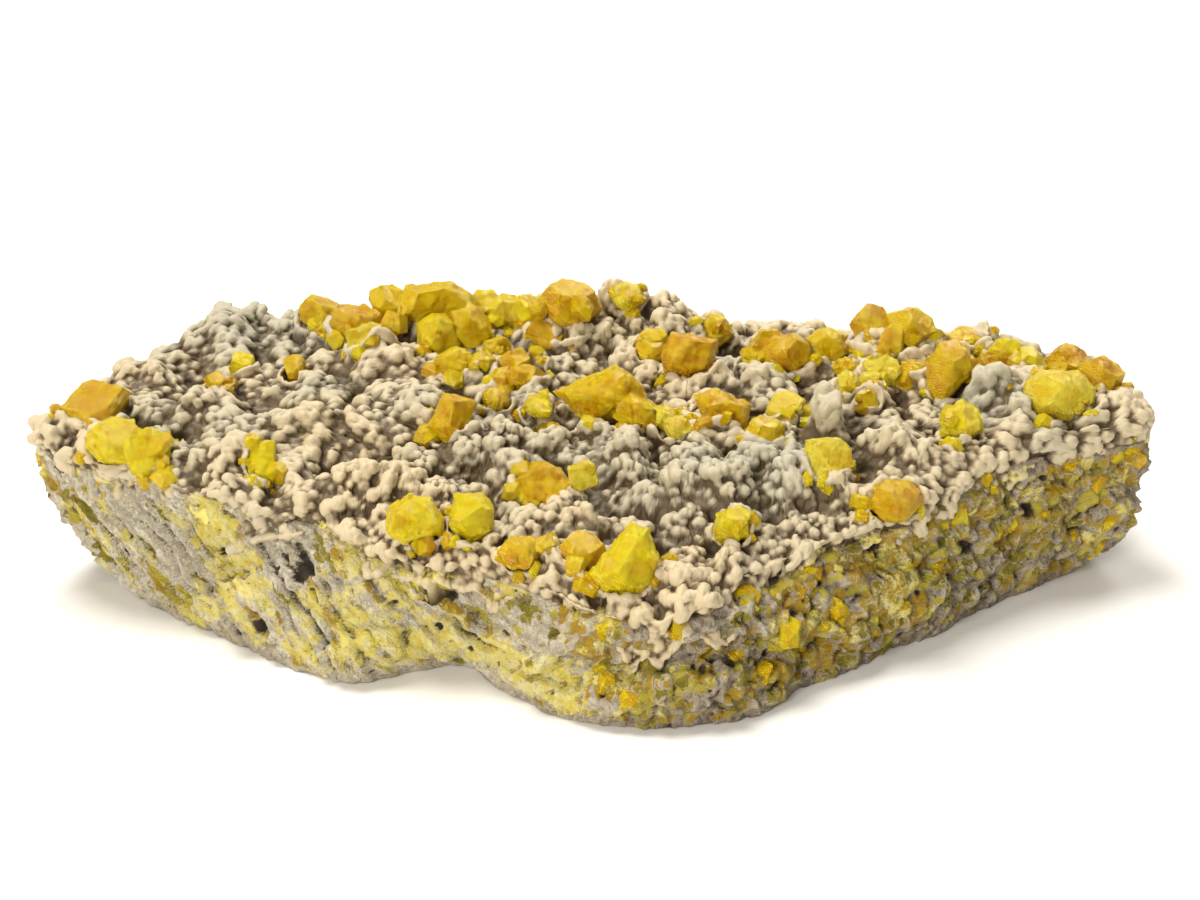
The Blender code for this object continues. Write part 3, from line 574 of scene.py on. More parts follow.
# Relief: waves along the beds, plates like shingles, broken blocks, knobs, round pits and niches.
pit_gap, _, pit_own = crumbs(wall, PIT_CELL, 51)
pit_size = 0.7 + 1.1 * np.mod(pit_own * 77, 1)
pit = (pit_own > 0.84) * ease(cloud(wall, 1.5, 53), -0.5, 0.2) * np.clip(1 - pit_gap / pit_size, 0, 1)
_, lean, block_own = crumbs(wall + 0.9 * cloud(wall, 3, 61)[..., None], BLOCK_CELL, 63)
block = np.clip(slant(lean, block_own), -1.6, 1.6)
relief = 1.9 * clouds(wall, 10, 81, 5, 0.58) * (1 - 0.35 * leftward)
relief = relief + leftward * (1.3 * clouds(streaks, 8, 85, 4, 0.62) + 0.7 * clouds(streaks, 2.4, 87, 2))
relief = relief + 2.3 * (0.3 + 0.7 * leftward) * (shingle - 0.35)
relief = relief + 0.65 * block * (1 - knob_share) * (1 - 0.8 * leftward) + 0.6 * ridge + 0.5
relief = relief + knob_share * (0.9 * ball_crowd(wall, KNOB_CELL, 0.4, 0.68, 105, 0.2) - 0.6)
relief = relief - 2.0 * ease(pit, 0, 0.9) - 4.0 * niche

# The wall moves least at its foot and seam, and its foot stays on the floor. Then come the painted highlight
# on its standing-out edges and the painted shade in its hollows.
fixed = np.minimum(1, (1 - wall_up) * 6 + 0.3) * (0.4 + 0.6 * ease(wall_up, 0, 0.2))
push = smooth_ups(wall_out, 3) * (relief * fixed)[..., None]
push[..., 2] *= ease(wall_up, 0, 0.12)
wall = wall + push
wall[..., 2] = np.maximum(wall[..., 2], 0)
wall[:, 0, 2] = 0
# How far each point stands over its neighbours: it paints highlight on standing-out edges and shade in
# creases.
relief_shading = standing_out(wall, outward(wall, True), 3)
# Painted highlight: edges that stand out are whitened along with the plate rims.
ridge = np.clip(ridge + 0.6 * ease(relief_shading, 0.1, 0.6), 0, 1)
# Painted shade in pits, creases, low places and niches, which the finish turns dark brown.
shade_in_hollows = 0.7 * ease(pit, 0.1, 0.8) + 0.5 * ease(-relief_shading, 0.2, 0.9) + 0.3 * ease(-relief, 1, 3)
shade_in_hollows = np.clip(shade_in_hollows + 1.2 * niche, 0, 1)

# The wall is closed by a flat cut below and a lid above, under the crust.
around, rows = wall.shape[:2]
inner = wall[:, -1] * [0.55, 0.55, 1]
heart = np.array([[0, 0, LID_HEIGHT], [0, 0, 0]])
slab_points = np.concatenate([wall.reshape(-1, 3), inner, heart])
k = np.arange(around)
n = (k + 1) % around
last, low = k * rows + rows - 1, k * rows
ring = around * rows + k
ring_after = around * rows + n
slab_faces = [
    wrapped_quads(around, rows),
    np.stack([last, n * rows + rows - 1, ring_after, ring], -1),
    np.stack([ring, ring_after, np.full(around, around * rows + around)], -1),
    np.stack([n * rows, low, np.full(around, around * rows + around + 1)], -1),
]
spare = np.zeros(around + 2)
slab_marks = {"powder": powder, "solid": solid, "pale": pale, "ridge": ridge, "shade_in_hollows": shade_in_hollows}
slab_marks = {name: np.concatenate([values.ravel(), spare]) for name, values in slab_marks.items()}
slab_marks["beds"] = np.concatenate([(streaks * MM).reshape(-1, 3), np.zeros((around + 2, 3))])
slab = piece("limestone_slab", slab_points, slab_faces, slab_marks, limestone_finish())
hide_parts("limestone_matrix")

# ---------------------------------------------------------------- the aragonite crust
# The crust is thousands of rounded aragonite nodules, 2 to 4 mm each, grown into one another over lumps and
# knolls. Their tips are painted cream as light, and the creases between them grey-brown as shade. It is one
# layer, in four blocks here.

PLAN_HALF = (141, 78)
EDGE_BAND = 7.0
EDGE_DROP = 2.5
CRUST_LEAST = 2.5
LUMP_CELL = 13.0
LUMP_SHARE = 0.6
LUMP_SINK = 3.4
CRUST_CELLS = (570, 316)
LIP_ROWS = 24
LIP_SHARE = 0.2
CRUST_BLOCKS = 4
CLUMP_CELL = 7.5
NODULE_CELLS = (3.2, 2.7)
PEARL_CELL = 1.9

# Rises of the crust: centre, half-axes and height. A hollow has a negative height.
Rise = namedtuple("Rise", "x y across deep height")
RISES = [
    Rise(-100, 49, 11, 10, 9),
    Rise(-82, 56, 16, 9, 4),
    Rise(-48, 52, 24, 13, 7),
    Rise(-10, 52, 17, 13, 7),
    Rise(13, 56, 13, 13, 10),
    Rise(-55, 29, 8, 7, 8),
    Rise(-107, 4, 9, 8, 4),
    Rise(-117, 28, 7, 7, 3),
    Rise(-134, 15, 7, 9, -4),
    Rise(-92, -20, 8, 6, 4),
    Rise(-64, -2, 17, 8, 6),
    Rise(-44, 6, 9, 8, 4),
    Rise(-54, -33, 13, 6, 4),
    Rise(-25, -14, 6, 9, 5),
    Rise(-12, -13, 6, 6, 3),
    Rise(-5, -42, 7, 7, 6),
    Rise(6, -20, 7, 6, 5),
    Rise(27, -33, 17, 10, 4),
    Rise(45, -22, 10, 8, 4),
    Rise(20, -66, 7, 6, 2),
    Rise(-13, 30, 6, 6, 4),
    Rise(3, 32, 8, 6, 4),
    Rise(45, 20, 10, 5, 3),
    Rise(56, -11, 4.5, 5, 12),
    Rise(70, -16, 6, 5, 11),
    Rise(77, -22, 5, 5, 6),
    Rise(99, 11, 6, 5, 5),
    Rise(104, 2, 4, 4, 4),
    Rise(110, 40, 12, 8, 3),
    Rise(82, 42, 16, 10, 4),
    Rise(114, 12, 13, 11, 2),
    Rise(-85, 6, 6, 7, -5),
    Rise(-60, -18, 8, 4, -7),
    Rise(-16, -33, 8, 5, -6),
    Rise(9, -36, 5, 3, -5),
    Rise(-24, 13, 4, 5, -4),
    Rise(34, 16, 6, 4, -4),
    Rise(62, -27, 6, 4, -4),
    Rise(-83, -24, 6, 3, -4),
]

# Where the nodules are bluish grey instead of tan.
GREY_PATCHES = [
    (27, -30, 20, 14),
    (46, -22, 12, 9),
    (-28, -20, 30, 8),
    (66, -4, 12, 9),
    (100, 8, 12, 8),
    (-70, 14, 12, 6),
    (-104, 42, 24, 16),
    (-80, 55, 20, 10),
]


def domes(x, y, cell):
    """Height of a field of half balls, one in each square cell, off its middle by chance: the highest one."""
    column, row = np.floor(x / cell), np.floor(y / cell)
    top = np.zeros_like(x)
    for i in (-1, 0, 1):
        for j in (-1, 0, 1):
            a, b = column + i, row + j
            centre_x = (a + 0.2 + 0.6 * chance(a, b, 1, 0)) * cell
            centre_y = (b + 0.2 + 0.6 * chance(a, b, 2, 0)) * cell
            ball = cell * (0.5 + 0.3 * chance(a, b, 3, 0))
            left = ball**2 - (x - centre_x) ** 2 - (y - centre_y) ** 2
            top = np.maximum(top, np.sqrt(np.maximum(left, 0)))
    return top


def even_crust(x, y):
    """The crust without its lumps: a slope that rises to the back, plus a bell for each rise or hollow."""
    height = CRUST_LEVEL + CRUST_RISE * y - CRUST_BOW * y**2
    for rise in RISES:
        away = ((x - rise.x) / rise.across) ** 2 + ((y - rise.y) / rise.deep) ** 2
        height = height + rise.height * np.exp(-(away**1.5))
    return height


def crust_top(x, y, share):
    """The lumpy crust: share is how far out a point lies, and near the edge the crust rolls down."""
    inward = np.hypot(x, y) * (1 - share) / np.maximum(share, 0.05)
    roll = np.clip(1 - inward / EDGE_BAND, 0, 1)
    lumps = LUMP_SHARE * domes(x, y, LUMP_CELL) - LUMP_SINK
    height = even_crust(x, y) + lumps * (1 - 0.6 * roll) - EDGE_DROP * roll**2
    return np.maximum(height, seam_height(x, y, share) + CRUST_LEAST)


def lip_steps(cells):
    """Positions of the grid's lines from -1 to 1, with the lip's rows beyond both ends."""
    beyond = 1 + LIP_SHARE * np.arange(1, LIP_ROWS + 1) / LIP_ROWS
    return np.r_[-beyond[::-1], np.linspace(-1, 1, cells + 1), beyond]


def crust_grid():
    """Square grid laid over the crust by the concentric map: inside it the lumpy top, beyond it a lip that
    rolls round the edge, down and in under itself."""
    u, v = np.meshgrid(lip_steps(CRUST_CELLS[0]), lip_steps(CRUST_CELLS[1]), indexing="ij")
    wide = np.abs(u) >= np.abs(v)
    out = np.where(wide, u, v)
    small = np.where(wide, v, u)
    turn = (math.pi / 4) * np.divide(small, out, out=np.zeros_like(out), where=out != 0)
    turn = np.where(wide, turn, math.pi / 2 - turn)
    angle = np.arctan2(PLAN_HALF[1] * out * np.sin(turn), PLAN_HALF[0] * out * np.cos(turn))
    share = np.minimum(np.abs(out), 1)
    lip = np.clip((np.abs(out) - 1) / LIP_SHARE, 0, 1)
    rim = plan_radius(RIM_PLAN, angle)
    x, y = rim * share * np.cos(angle), rim * share * np.sin(angle)
    top = crust_top(x, y, share)
    seam = seam_height(x, y, share)
    ragged = clouds(np.stack([x, y, np.zeros_like(x)], -1), 13.0, 7, 3)
    z = top + (seam - 2.0 - 9.0 * np.clip(ragged + 0.15, 0, 1.2) - top) * np.minimum(lip / 0.9, 1)
    beside = wall_reach(angle, np.clip(z / seam, 0, 1))
    reach = rim + (beside + 1.3 - rim) * ease(lip, 0.1, 0.5) + 0.6 * np.sin(math.pi * np.minimum(lip * 3, 1))
    reach = np.where(lip > 0, reach - 3.5 * ease(lip, 0.82, 1.0), rim * share)
    return np.stack([reach * np.cos(angle), reach * np.sin(angle), z], -1), lip


def block_of(points, normals, marks, first, final):
    """Some columns of a grid as a closed block: the skin, and a fan of triangles that closes it far below."""
    skin = points[first : final + 1]
    wide, deep = skin.shape[:2]
    index = np.arange(wide * deep).reshape(wide, deep)
    quads = np.stack([index[:-1, :-1], index[1:, :-1], index[1:, 1:], index[:-1, 1:]], -1).reshape(-1, 4)
    loop = np.r_[index[:-1, 0], index[-1, :-1], index[:0:-1, -1], index[0, :0:-1]]
    middle = skin.reshape(-1, 3)[loop].mean(0)
    low = skin.reshape(-1, 3)[loop]
    floor = seam_height(low[:, 0], low[:, 1], 0.5) - 3
    low = np.stack([low[:, 0] * 0.98, low[:, 1] * 0.98, np.minimum(low[:, 2], floor)], -1)
    count = len(loop)
    below = wide * deep + np.arange(count)
    after = np.roll(np.arange(count), -1)
    faces = [
        quads,
        np.stack([loop[after], loop, below, below[after]], -1),
        np.stack([below[after], below, np.full(count, wide * deep + count)], -1),
    ]
    middle[2] = low[:, 2].min() - 1
    all_points = np.concatenate([skin.reshape(-1, 3), low, middle[None]])
    down = np.tile([0.0, 0.0, -1.0], (count + 1, 1))
    all_normals = np.concatenate([normals[first : final + 1].reshape(-1, 3), down])
    all_marks = {
        name: np.concatenate([values[first : final + 1].ravel(), np.zeros(count + 1)])
        for name, values in marks.items()
    }
    return all_points, faces, all_marks, all_normals


# The crease colour is painted shade; flank and tip colours follow how far a point stands out.
NODULE_CREASE_SHADE = (0.12, 0.08, 0.035)
NODULE_TAN = (0.32, 0.24, 0.13)
NODULE_CREAM = (0.61, 0.50, 0.31)
NODULE_GREY = (0.25, 0.23, 0.16)
NODULE_PALE_GREY = (0.48, 0.435, 0.31)
SULFUR_DUST = (0.78, 0.66, 0.16)


def aragonite_finish():
    """Painted light and shade: cream tips, tan or bluish-grey flanks and brown creases by how far a point
    stands out, with a fine sugary grain and a dull gloss.
    """
    finish, tree, shader, where = new_finish("aragonite nodules")
    tip = mark_of(tree, "tip")
    mottle = noise(tree, where, 2.2, 4.0, 0.6)
    # Painted light and shade: creases dark brown, flanks tan or grey, tips cream, by the tip mark.
    relief_shading = plus(tree, tip, times(tree, minus(tree, mottle, 0.5), 0.5))
    flank = tint(tree, mark_of(tree, "grey"), NODULE_TAN, NODULE_GREY)
    cream = tint(tree, mark_of(tree, "grey"), NODULE_CREAM, NODULE_PALE_GREY)
    colour = tint(tree, ramp(tree, relief_shading, 0.0, 0.40), NODULE_CREASE_SHADE, flank)
    colour = tint(tree, ramp(tree, relief_shading, 0.30, 0.85), colour, cream)
    dust = plus(tree, mark_of(tree, "dust"), minus(tree, noise(tree, where, 1.0, 4.0), 0.5))
    colour = tint(tree, ramp(tree, dust, 0.45, 0.75), colour, SULFUR_DUST)
    sugar = plus(tree, noise(tree, where, 0.5, 3.0, 0.6), times(tree, mottle, 0.6))
    values = {"Subsurface Weight": 0.2, "Subsurface Radius": (1.0, 0.8, 0.6), "Subsurface Scale": 0.001}
    rough, normal = spread(tree, mottle, 0.38, 0.62), bumped(tree, sugar, 0.45, 0.0004)
    plug(tree, shader, values, {"Base Color": colour, "Roughness": rough, "Normal": normal})
    return finish


crystal_nodes = sorted(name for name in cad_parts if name.startswith("sulfur_"))
crystal_boxes = {name: [np.array(corner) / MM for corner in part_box(name)] for name in crystal_nodes}


def beside_crystals(place):
    """1 within a crystal and falling to 0 a little outside it, where the crust makes room for it."""
    share = np.zeros(place.shape[:-1])
    for low, high in crystal_boxes.values():
        centre, half = (low + high) / 2, (high - low) / 2
        gap = ((place - centre) / (half + 0.5)) ** 2
        share = np.maximum(share, np.exp(-(gap.sum(-1) ** 2)))
    return share


def evened(grid, rounds):
    """Grid points slid along the surface towards the middle of their four neighbours, so that steep walls
    get their share of points. The border stays where it is."""
    for _ in range(rounds):
        middle = grid.copy()
        middle[1:-1, 1:-1] = (grid[2:, 1:-1] + grid[:-2, 1:-1] + grid[1:-1, 2:] + grid[1:-1, :-2]) / 4
        way, up = middle - grid, outward(grid, False)
        grid = grid + 0.8 * (way - up * (way * up).sum(-1, keepdims=True))
    return grid


# Each layer is pushed out along smoothed normals: knolls, clumps, nodules, and then pearls on them.
crust, lip = crust_grid()
crust_up = outward(crust, False)
room = beside_crystals(crust)
socket = ease(room, 0.02, 0.25) * ease(1 - room, 0.3, 0.8)
knoll = 2.2 * np.abs(cloud(crust, 15, 151)) + 2.2 * clouds(crust, 22, 153, 2) - 0.9 + 2.3 * socket
crust = crust + crust_up * (knoll * (1 - 0.6 * ease(lip, 0, 0.4)))[..., None]
crust_up = smooth_ups(outward(crust, False), 8)
clump = smeared(ball_crowd(crust, CLUMP_CELL, 0.36, 0.64, 101, 0.8), 2)
crust = evened(crust + crust_up * ((0.66 - 0.3 * lip) * clump - 2.0)[..., None], 20)
crust_up = smooth_ups(outward(crust, False), 4)
large_nodule = ball_crowd(crust, NODULE_CELLS[0], 0.50, 0.76, 111, 0.18)
small_nodule = ball_crowd(crust, NODULE_CELLS[1], 0.50, 0.76, 161, 0.15)
nodule = np.maximum(large_nodule, small_nodule)
crust = evened(crust + crust_up * (0.92 * nodule - 1.1)[..., None], 4)
crust_up = smooth_ups(outward(crust, False), 2)
pearl = ball_crowd(crust, PEARL_CELL, 0.44, 0.7, 121, 0.15)
crust = crust + crust_up * (0.3 * pearl - 0.15)[..., None]
crust_up = outward(crust, False)

# Marks: how far tips stand over their neighbours, for painted light on tips and painted shade in creases,
# also darker towards the left; some places are bluish grey, and dust lies by crystals and edge.
close_by = standing_out(crust, crust_up, 3)
near_by = standing_out(crust, crust_up, 9)
far_by = standing_out(crust, crust_up, 24)
tip = 0.38 + 0.85 * close_by + 0.24 * near_by + 0.10 * far_by
tip = np.clip(tip - 0.10 * ease(-crust[..., 0], 0, 50) * (1 + clouds(crust, 18, 133, 2)), 0, 1)
grey = 0.25 + 0.5 * clouds(crust, 22, 131, 2)
for x, y, across, deep in GREY_PATCHES:
    grey = grey + 0.9 * np.exp(-(((crust[..., 0] - x) / across) ** 2) - ((crust[..., 1] - y) / deep) ** 2)
grey = np.clip(grey, 0, 1)
edge_dust = 0.45 * ease(lip, 0.05, 0.5) * (1 + 0.8 * cloud(crust, 9, 143))
dust = np.clip(0.36 * room + 0.45 * cloud(crust, 13, 141) - 0.15 + edge_dust, 0, 1)
crust_finish = aragonite_finish()
crust_marks = {"tip": tip, "grey": grey, "dust": dust}
cuts = np.linspace(0, crust.shape[0] - 1, CRUST_BLOCKS + 1).astype(int)
for number, (first, final) in enumerate(zip(cuts, cuts[1:]), 1):
    points, faces, marks, normals = block_of(crust, crust_up, crust_marks, first, final)
    block_piece = piece(f"crust_block_{number}", points, faces, marks, crust_finish, normals)
    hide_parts("aragonite_crust")

# ---------------------------------------------------------------- the sulfur crystals
# Each crystal is orthorhombic sulfur, translucent and resinous, between lemon and amber. Its edges are sharp
# but slightly worn, with faint growth steps on its faces. It grew in the crust and stands in its own socket.

CRYSTAL_STEP = 0.85  # longest edge of the small triangles
RIM_WIDTH = 1.6
WORN_WIDTH = 0.55
FACET_CELL = 4.2

# Each tone: the deep and the light body colour, the haze of worn places, how clear it is, and its crystals.
Tone = namedtuple("Tone", "deep light haze clearness crystals")
TONES = {
    "sulfur_amber": Tone(
        (0.81, 0.35, 0.001), (0.98, 0.62, 0.001), (0.97, 0.80, 0.16), 0.26,
        "cube clear box roof tail right_tip glitter hollow front_shade front_dark edge_orange wall_left",
    ),
    "sulfur_gold": Tone(
        (0.84, 0.43, 0.001), (0.99, 0.70, 0.002), (0.97, 0.84, 0.18), 0.22,
        "centre great_cluster gold_ball back_left ball prism sheaf pair horizon pebble drum right_cluster "
        "wedge chip knob standing back_right leaning small_gold left_slab left_chip left_bar",
    ),
    "sulfur_lemon": Tone(
        (0.86, 0.54, 0.001), (0.99, 0.79, 0.006), (0.98, 0.89, 0.24), 0.18,
        "striped back_middle streak shoulder_pair bright lime_plate front_left front_left_twin front "
        "front_right flake left_sheets left_bits",
    ),
    "sulfur_pale": Tone(
        (0.84, 0.56, 0.01), (0.96, 0.79, 0.06), (0.93, 0.82, 0.26), 0.12,
        "tan mirror granules shoulder_mass slab_pair frost hollow_flake yellow_ridge",
    ),
}


def sulfur_body_group():
    """Shader group for every sulfur finish: clouds of light and deep colour, rubbed pale rims, growth steps.
    """
    tree = bpy.data.node_groups.new("sulfur body", "ShaderNodeTree")
    for name in ("Deep", "Light", "Haze"):
        tree.interface.new_socket(name, in_out="INPUT", socket_type="NodeSocketColor")
    tree.interface.new_socket("Colour", in_out="OUTPUT", socket_type="NodeSocketColor")
    tree.interface.new_socket("Roughness", in_out="OUTPUT", socket_type="NodeSocketFloat")
    tree.interface.new_socket("Height", in_out="OUTPUT", socket_type="NodeSocketFloat")
    given = put(tree, "NodeGroupInput")
    where = put(tree, "ShaderNodeTexCoord").outputs["Object"]
    own = mark_of(tree, "own")
    rim = mark_of(tree, "rim")
    veil = noise(tree, where, 6.0, 5.0, 0.65, ((1.0, 0.6, 1.6), (0.4, 0.2, 0.7)))
    thin = plus(tree, times(tree, own, 0.20), times(tree, rim, 0.16))
    bent = bent_place(tree, where, where, 220.0, 0.003)
    large, _, large_tilt = mosaic(tree, bent, 3.6)
    small, _, small_tilt = mosaic(tree, bent, 1.5)
    cleft = plus(tree, times(tree, large["Red"], 0.22), times(tree, small["Red"], 0.2))
    thin = plus(tree, thin, minus(tree, cleft, 0.21))
    lit = ramp(tree, plus(tree, veil, thin), 0.42, 0.84)
    body = tint(tree, lit, given.outputs["Deep"], given.outputs["Light"])
    fine = noise(tree, where, 1.2, 5.0, 0.7)
    streak = noise(tree, where, 2.6, 5.0, 0.65, ((1.0, 1.0, 0.3), (0.5, 0.3, 0.2)))
    frost = ramp(tree, plus(tree, streak, times(tree, rim, 0.10)), 0.52, 0.78)
    colour = tint(tree, times(tree, frost, 0.12), body, given.outputs["Haze"])
    chipped = ramp(tree, plus(tree, times(tree, rim, 0.5), streak), 0.98, 1.15)
    colour = tint(tree, times(tree, chipped, 0.5), colour, given.outputs["Haze"])
    scratch = noise(tree, where, 0.8, 4.0, 0.7, ((1.0, 0.10, 0.5), (0.3, 0.7, 0.4)))
    scored = times(tree, ramp(tree, scratch, 0.52, 0.66), ramp(tree, streak, 0.42, 0.62))
    colour = tint(tree, times(tree, scored, 0.45), colour, given.outputs["Haze"])
    values = {"Scale": 900, "Distortion": 6.0, "Detail": 2.0, "Detail Scale": 1.0}
    steps = put(tree, "ShaderNodeTexWave", values, {"Vector": where}, bands_direction="DIAGONAL")
    height = times(tree, steps.outputs["Fac"], 0.25)
    for part, share in ((veil, 1.2), (fine, 0.6), (scratch, 0.7), (large_tilt, 0.9), (small_tilt, 0.5)):
        height = plus(tree, height, times(tree, part, share))
    rough = spread(tree, veil, 0.04, 0.20, 0.3, 0.7)
    put(tree, "NodeGroupOutput", {}, {"Colour": colour, "Roughness": rough, "Height": height})
    return tree


sulfur_body = sulfur_body_group()


def sulfur_finish(name, tone):
    """Translucent resinous sulfur of one tone."""
    finish, tree, shader, _ = new_finish(name)
    colours = {"Deep": (*tone.deep, 1), "Light": (*tone.light, 1), "Haze": (*tone.haze, 1)}
    group = put(tree, "ShaderNodeGroup", node_tree=sulfur_body)
    made = plug(tree, group, colours).outputs
    values = {
        "IOR": 1.96,
        "Specular IOR Level": 0.45,
        "Specular Tint": (1.0, 0.80, 0.3, 1),
        "Transmission Weight": tone.clearness,
        "Subsurface Weight": 0.15,
        "Subsurface Radius": (1.0, 0.5, 0.08),
        "Subsurface Scale": 0.003,
    }
    rough, normal = made["Roughness"], bumped(tree, made["Height"], 1.0, 0.0009)
    plug(tree, shader, values, {"Base Color": made["Colour"], "Roughness": rough, "Normal": normal})
    return finish


def edge_distance(points, starts, ends):
    """Distance of each point from the nearest of these straight edges."""
    way = ends - starts
    share = ((points[:, None] - starts) * way).sum(-1) / np.maximum((way**2).sum(-1), 1e-9)
    foot = starts + np.clip(share, 0, 1)[..., None] * way
    return np.linalg.norm(points[:, None] - foot, axis=-1).min(1)


def crystal_copy(node, finish, own):
    """A copy of a crystal's solid, cut into small triangles. Its edges are rubbed and nibbled, and each face
    gets low waves and growth steps: all by moving points along their normals."""
    bm = bmesh.new()
    bm.from_mesh(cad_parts[node].data)
    bmesh.ops.remove_doubles(bm, verts=bm.verts[:], dist=0.005 * MM)
    bmesh.ops.dissolve_limit(bm, angle_limit=math.radians(1.5), verts=bm.verts[:], edges=bm.edges[:])
    for face in bm.faces:
        face.smooth = True
    sharp = [e for e in bm.edges if len(e.link_faces) == 2 and e.calc_face_angle(0) > math.radians(9)]
    for edge in sharp:
        edge.smooth = False
    starts = np.array([edge.verts[0].co for edge in sharp]) / MM
    ends = np.array([edge.verts[1].co for edge in sharp]) / MM
    bmesh.ops.triangulate(bm, faces=bm.faces[:])
    for _ in range(6):
        long = [edge for edge in bm.edges if edge.calc_length() > CRYSTAL_STEP * MM]
        if not long:
            break
        bmesh.ops.subdivide_edges(bm, edges=long, cuts=1)
        bmesh.ops.triangulate(bm, faces=[face for face in bm.faces if len(face.verts) > 3])
    bm.normal_update()
    mesh = bpy.data.meshes.new(f"{node}_crystal")
    bm.to_mesh(mesh)
    bm.free()
    place, normal = np.empty((2, len(mesh.vertices), 3), np.float32)
    mesh.vertices.foreach_get("co", place.ravel())
    mesh.vertices.foreach_get("normal", normal.ravel())
    place = place.astype(float) / MM
    gap = edge_distance(place, starts, ends)
    rim = np.exp(-gap / RIM_WIDTH)
    seed = int(own * 900)
    nibble = ease(cloud(place, 1.7, seed), -0.1, 0.9) + 0.5 * ease(cloud(place, 0.8, seed + 1), 0.0, 0.8)
    waves = 0.12 * cloud(place, 3.2, seed + 2) + 0.05 * cloud(place, 1.1, seed + 3)
    level = 4.0 * cloud(place * [1, 1, 1.6], 5.0, seed + 4)
    steps = 0.12 * (np.floor(level) + ease(level - np.floor(level), 0.75, 1.0))
    _, lean, cell_own = crumbs(place, FACET_CELL, seed + 6)
    broken = (0.04 if own < 0.35 else 0.11) * np.clip(slant(lean, cell_own), -2, 2)
    push = waves + broken + steps * (1 - rim) - (0.10 + 0.42 * nibble) * np.exp(-((gap / WORN_WIDTH) ** 2))
    place = place + normal * push[:, None]
    mesh.validate()
    mesh.vertices.foreach_set("co", (place * MM).astype(np.float32).ravel())
    for mark, values in (("rim", rim), ("own", np.full(len(place), own))):
        mesh.attributes.new(mark, "FLOAT", "POINT").data.foreach_set("value", values.astype(np.float32))
    mesh.materials.append(finish)
    made = placed(f"{node}_crystal", mesh)
    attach(made, "root")
    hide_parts(node)
    return made


finishes = {slot: sulfur_finish(slot.replace("_", " "), tone) for slot, tone in TONES.items()}
for slot, tone in TONES.items():
    finish = finishes[slot]
    for number, crystal in enumerate(tone.crystals.split()):
        made = crystal_copy(f"sulfur_{crystal}", finish, float(chance(number, len(slot), 1, 5)))

# Small grains of sulfur: blocky crystals 4 to 9 mm across, sunk in the wall, and smaller ones in the crust
# round the big crystals.

LONE_CRYSTALS = ("cube", "clear", "box", "centre", "roof", "striped")  # clean ones, with no twins on them
TWINS = 3
GRAIN_SIDES = 5
GRAIN_RINGS = ((0.45, 0.85), (1.0, 0.25), (0.85, -0.6))  # radius and height, for a grain of radius 1


def grain_shape():
    """A stubby crystal of three rings between two flat ends: points and triangles."""
    turn = np.arange(GRAIN_SIDES) * 2 * math.pi / GRAIN_SIDES
    circle = np.stack([np.cos(turn), np.sin(turn), np.zeros(GRAIN_SIDES)], -1)
    rings = [reach * circle + [0, 0, height] for reach, height in GRAIN_RINGS]
    points = np.concatenate([[[0, 0, GRAIN_RINGS[0][1]]], *rings, [[0, 0, GRAIN_RINGS[-1][1]]]])
    k = np.arange(GRAIN_SIDES)
    n = (k + 1) % GRAIN_SIDES
    faces = [np.stack([np.zeros_like(k), 1 + k, 1 + n], -1)]
    for ring in range(len(rings) - 1):
        a, b = 1 + ring * GRAIN_SIDES, 1 + (ring + 1) * GRAIN_SIDES
        faces.append(np.stack([a + k, b + k, b + n], -1))
        faces.append(np.stack([a + k, b + n, a + n], -1))
    last = 1 + (len(rings) - 1) * GRAIN_SIDES
    faces.append(np.stack([last + n, last + k, np.full(GRAIN_SIDES, len(points) - 1)], -1))
    return points, np.concatenate(faces)


def grains(centres, ups, sizes, salt):
    """Copies of the grain at these centres, each leaning its own way off its up direction and drawn out or
    flattened by chance: points and triangles."""
    shape, triangles = grain_shape()
    number = np.arange(len(centres))
    lean = np.stack([chance(number, 1, n, salt) for n in range(3)], -1) - 0.5
    up = ups + 1.3 * lean
    up = up / np.linalg.norm(up, axis=1, keepdims=True)
    side = np.cross(up, np.stack([chance(number, 2, n, salt) for n in range(3)], -1) + 0.1)
    side = side / np.linalg.norm(side, axis=1, keepdims=True)
    swell = 0.65 + 0.7 * chance(number[:, None], np.arange(3)[None, :], 3, salt)
    local = shape[None] * (sizes[:, None] * swell)[:, None, :]
    points = centres[:, None] + local[..., :1] * side[:, None] + local[..., 1:2] * np.cross(up, side)[:, None]
    points = points + local[..., 2:] * up[:, None]
    faces = triangles[None] + (number * len(shape))[:, None, None]
    return points.reshape(-1, 3), faces.reshape(-1, 3)


def thinned(points, wanted, cell, salt):
    """Numbers of the wanted points of a grid, one by chance from each cubic cell of this size."""
    number = np.flatnonzero(wanted)
    number = number[np.argsort(chance(number, 1, 2, salt))]
    _, first = np.unique(np.floor(points[number] / cell).astype(int), axis=0, return_index=True)
    return number[first]


def grain_piece(name, points, ups, chosen, least, most, sunk, slot, node, salt):
    """One piece of many grains: at these points of a surface, sunk in it by a share of their size."""
    size = least + (most - least) * chance(chosen, 5, 6, salt) ** 2
    up = ups[chosen]
    centres = points[chosen] - up * (sunk * size)[:, None]
    grain_points, grain_faces = grains(centres, up, size, salt)
    repeat = len(grain_points) // len(chosen)
    marks = {"own": np.repeat(chance(chosen, 7, 8, salt), repeat), "rim": np.full(len(grain_points), 0.4)}
    made = piece(name, grain_points, [grain_faces], marks, finishes[slot], smooth=False)
    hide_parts(node)


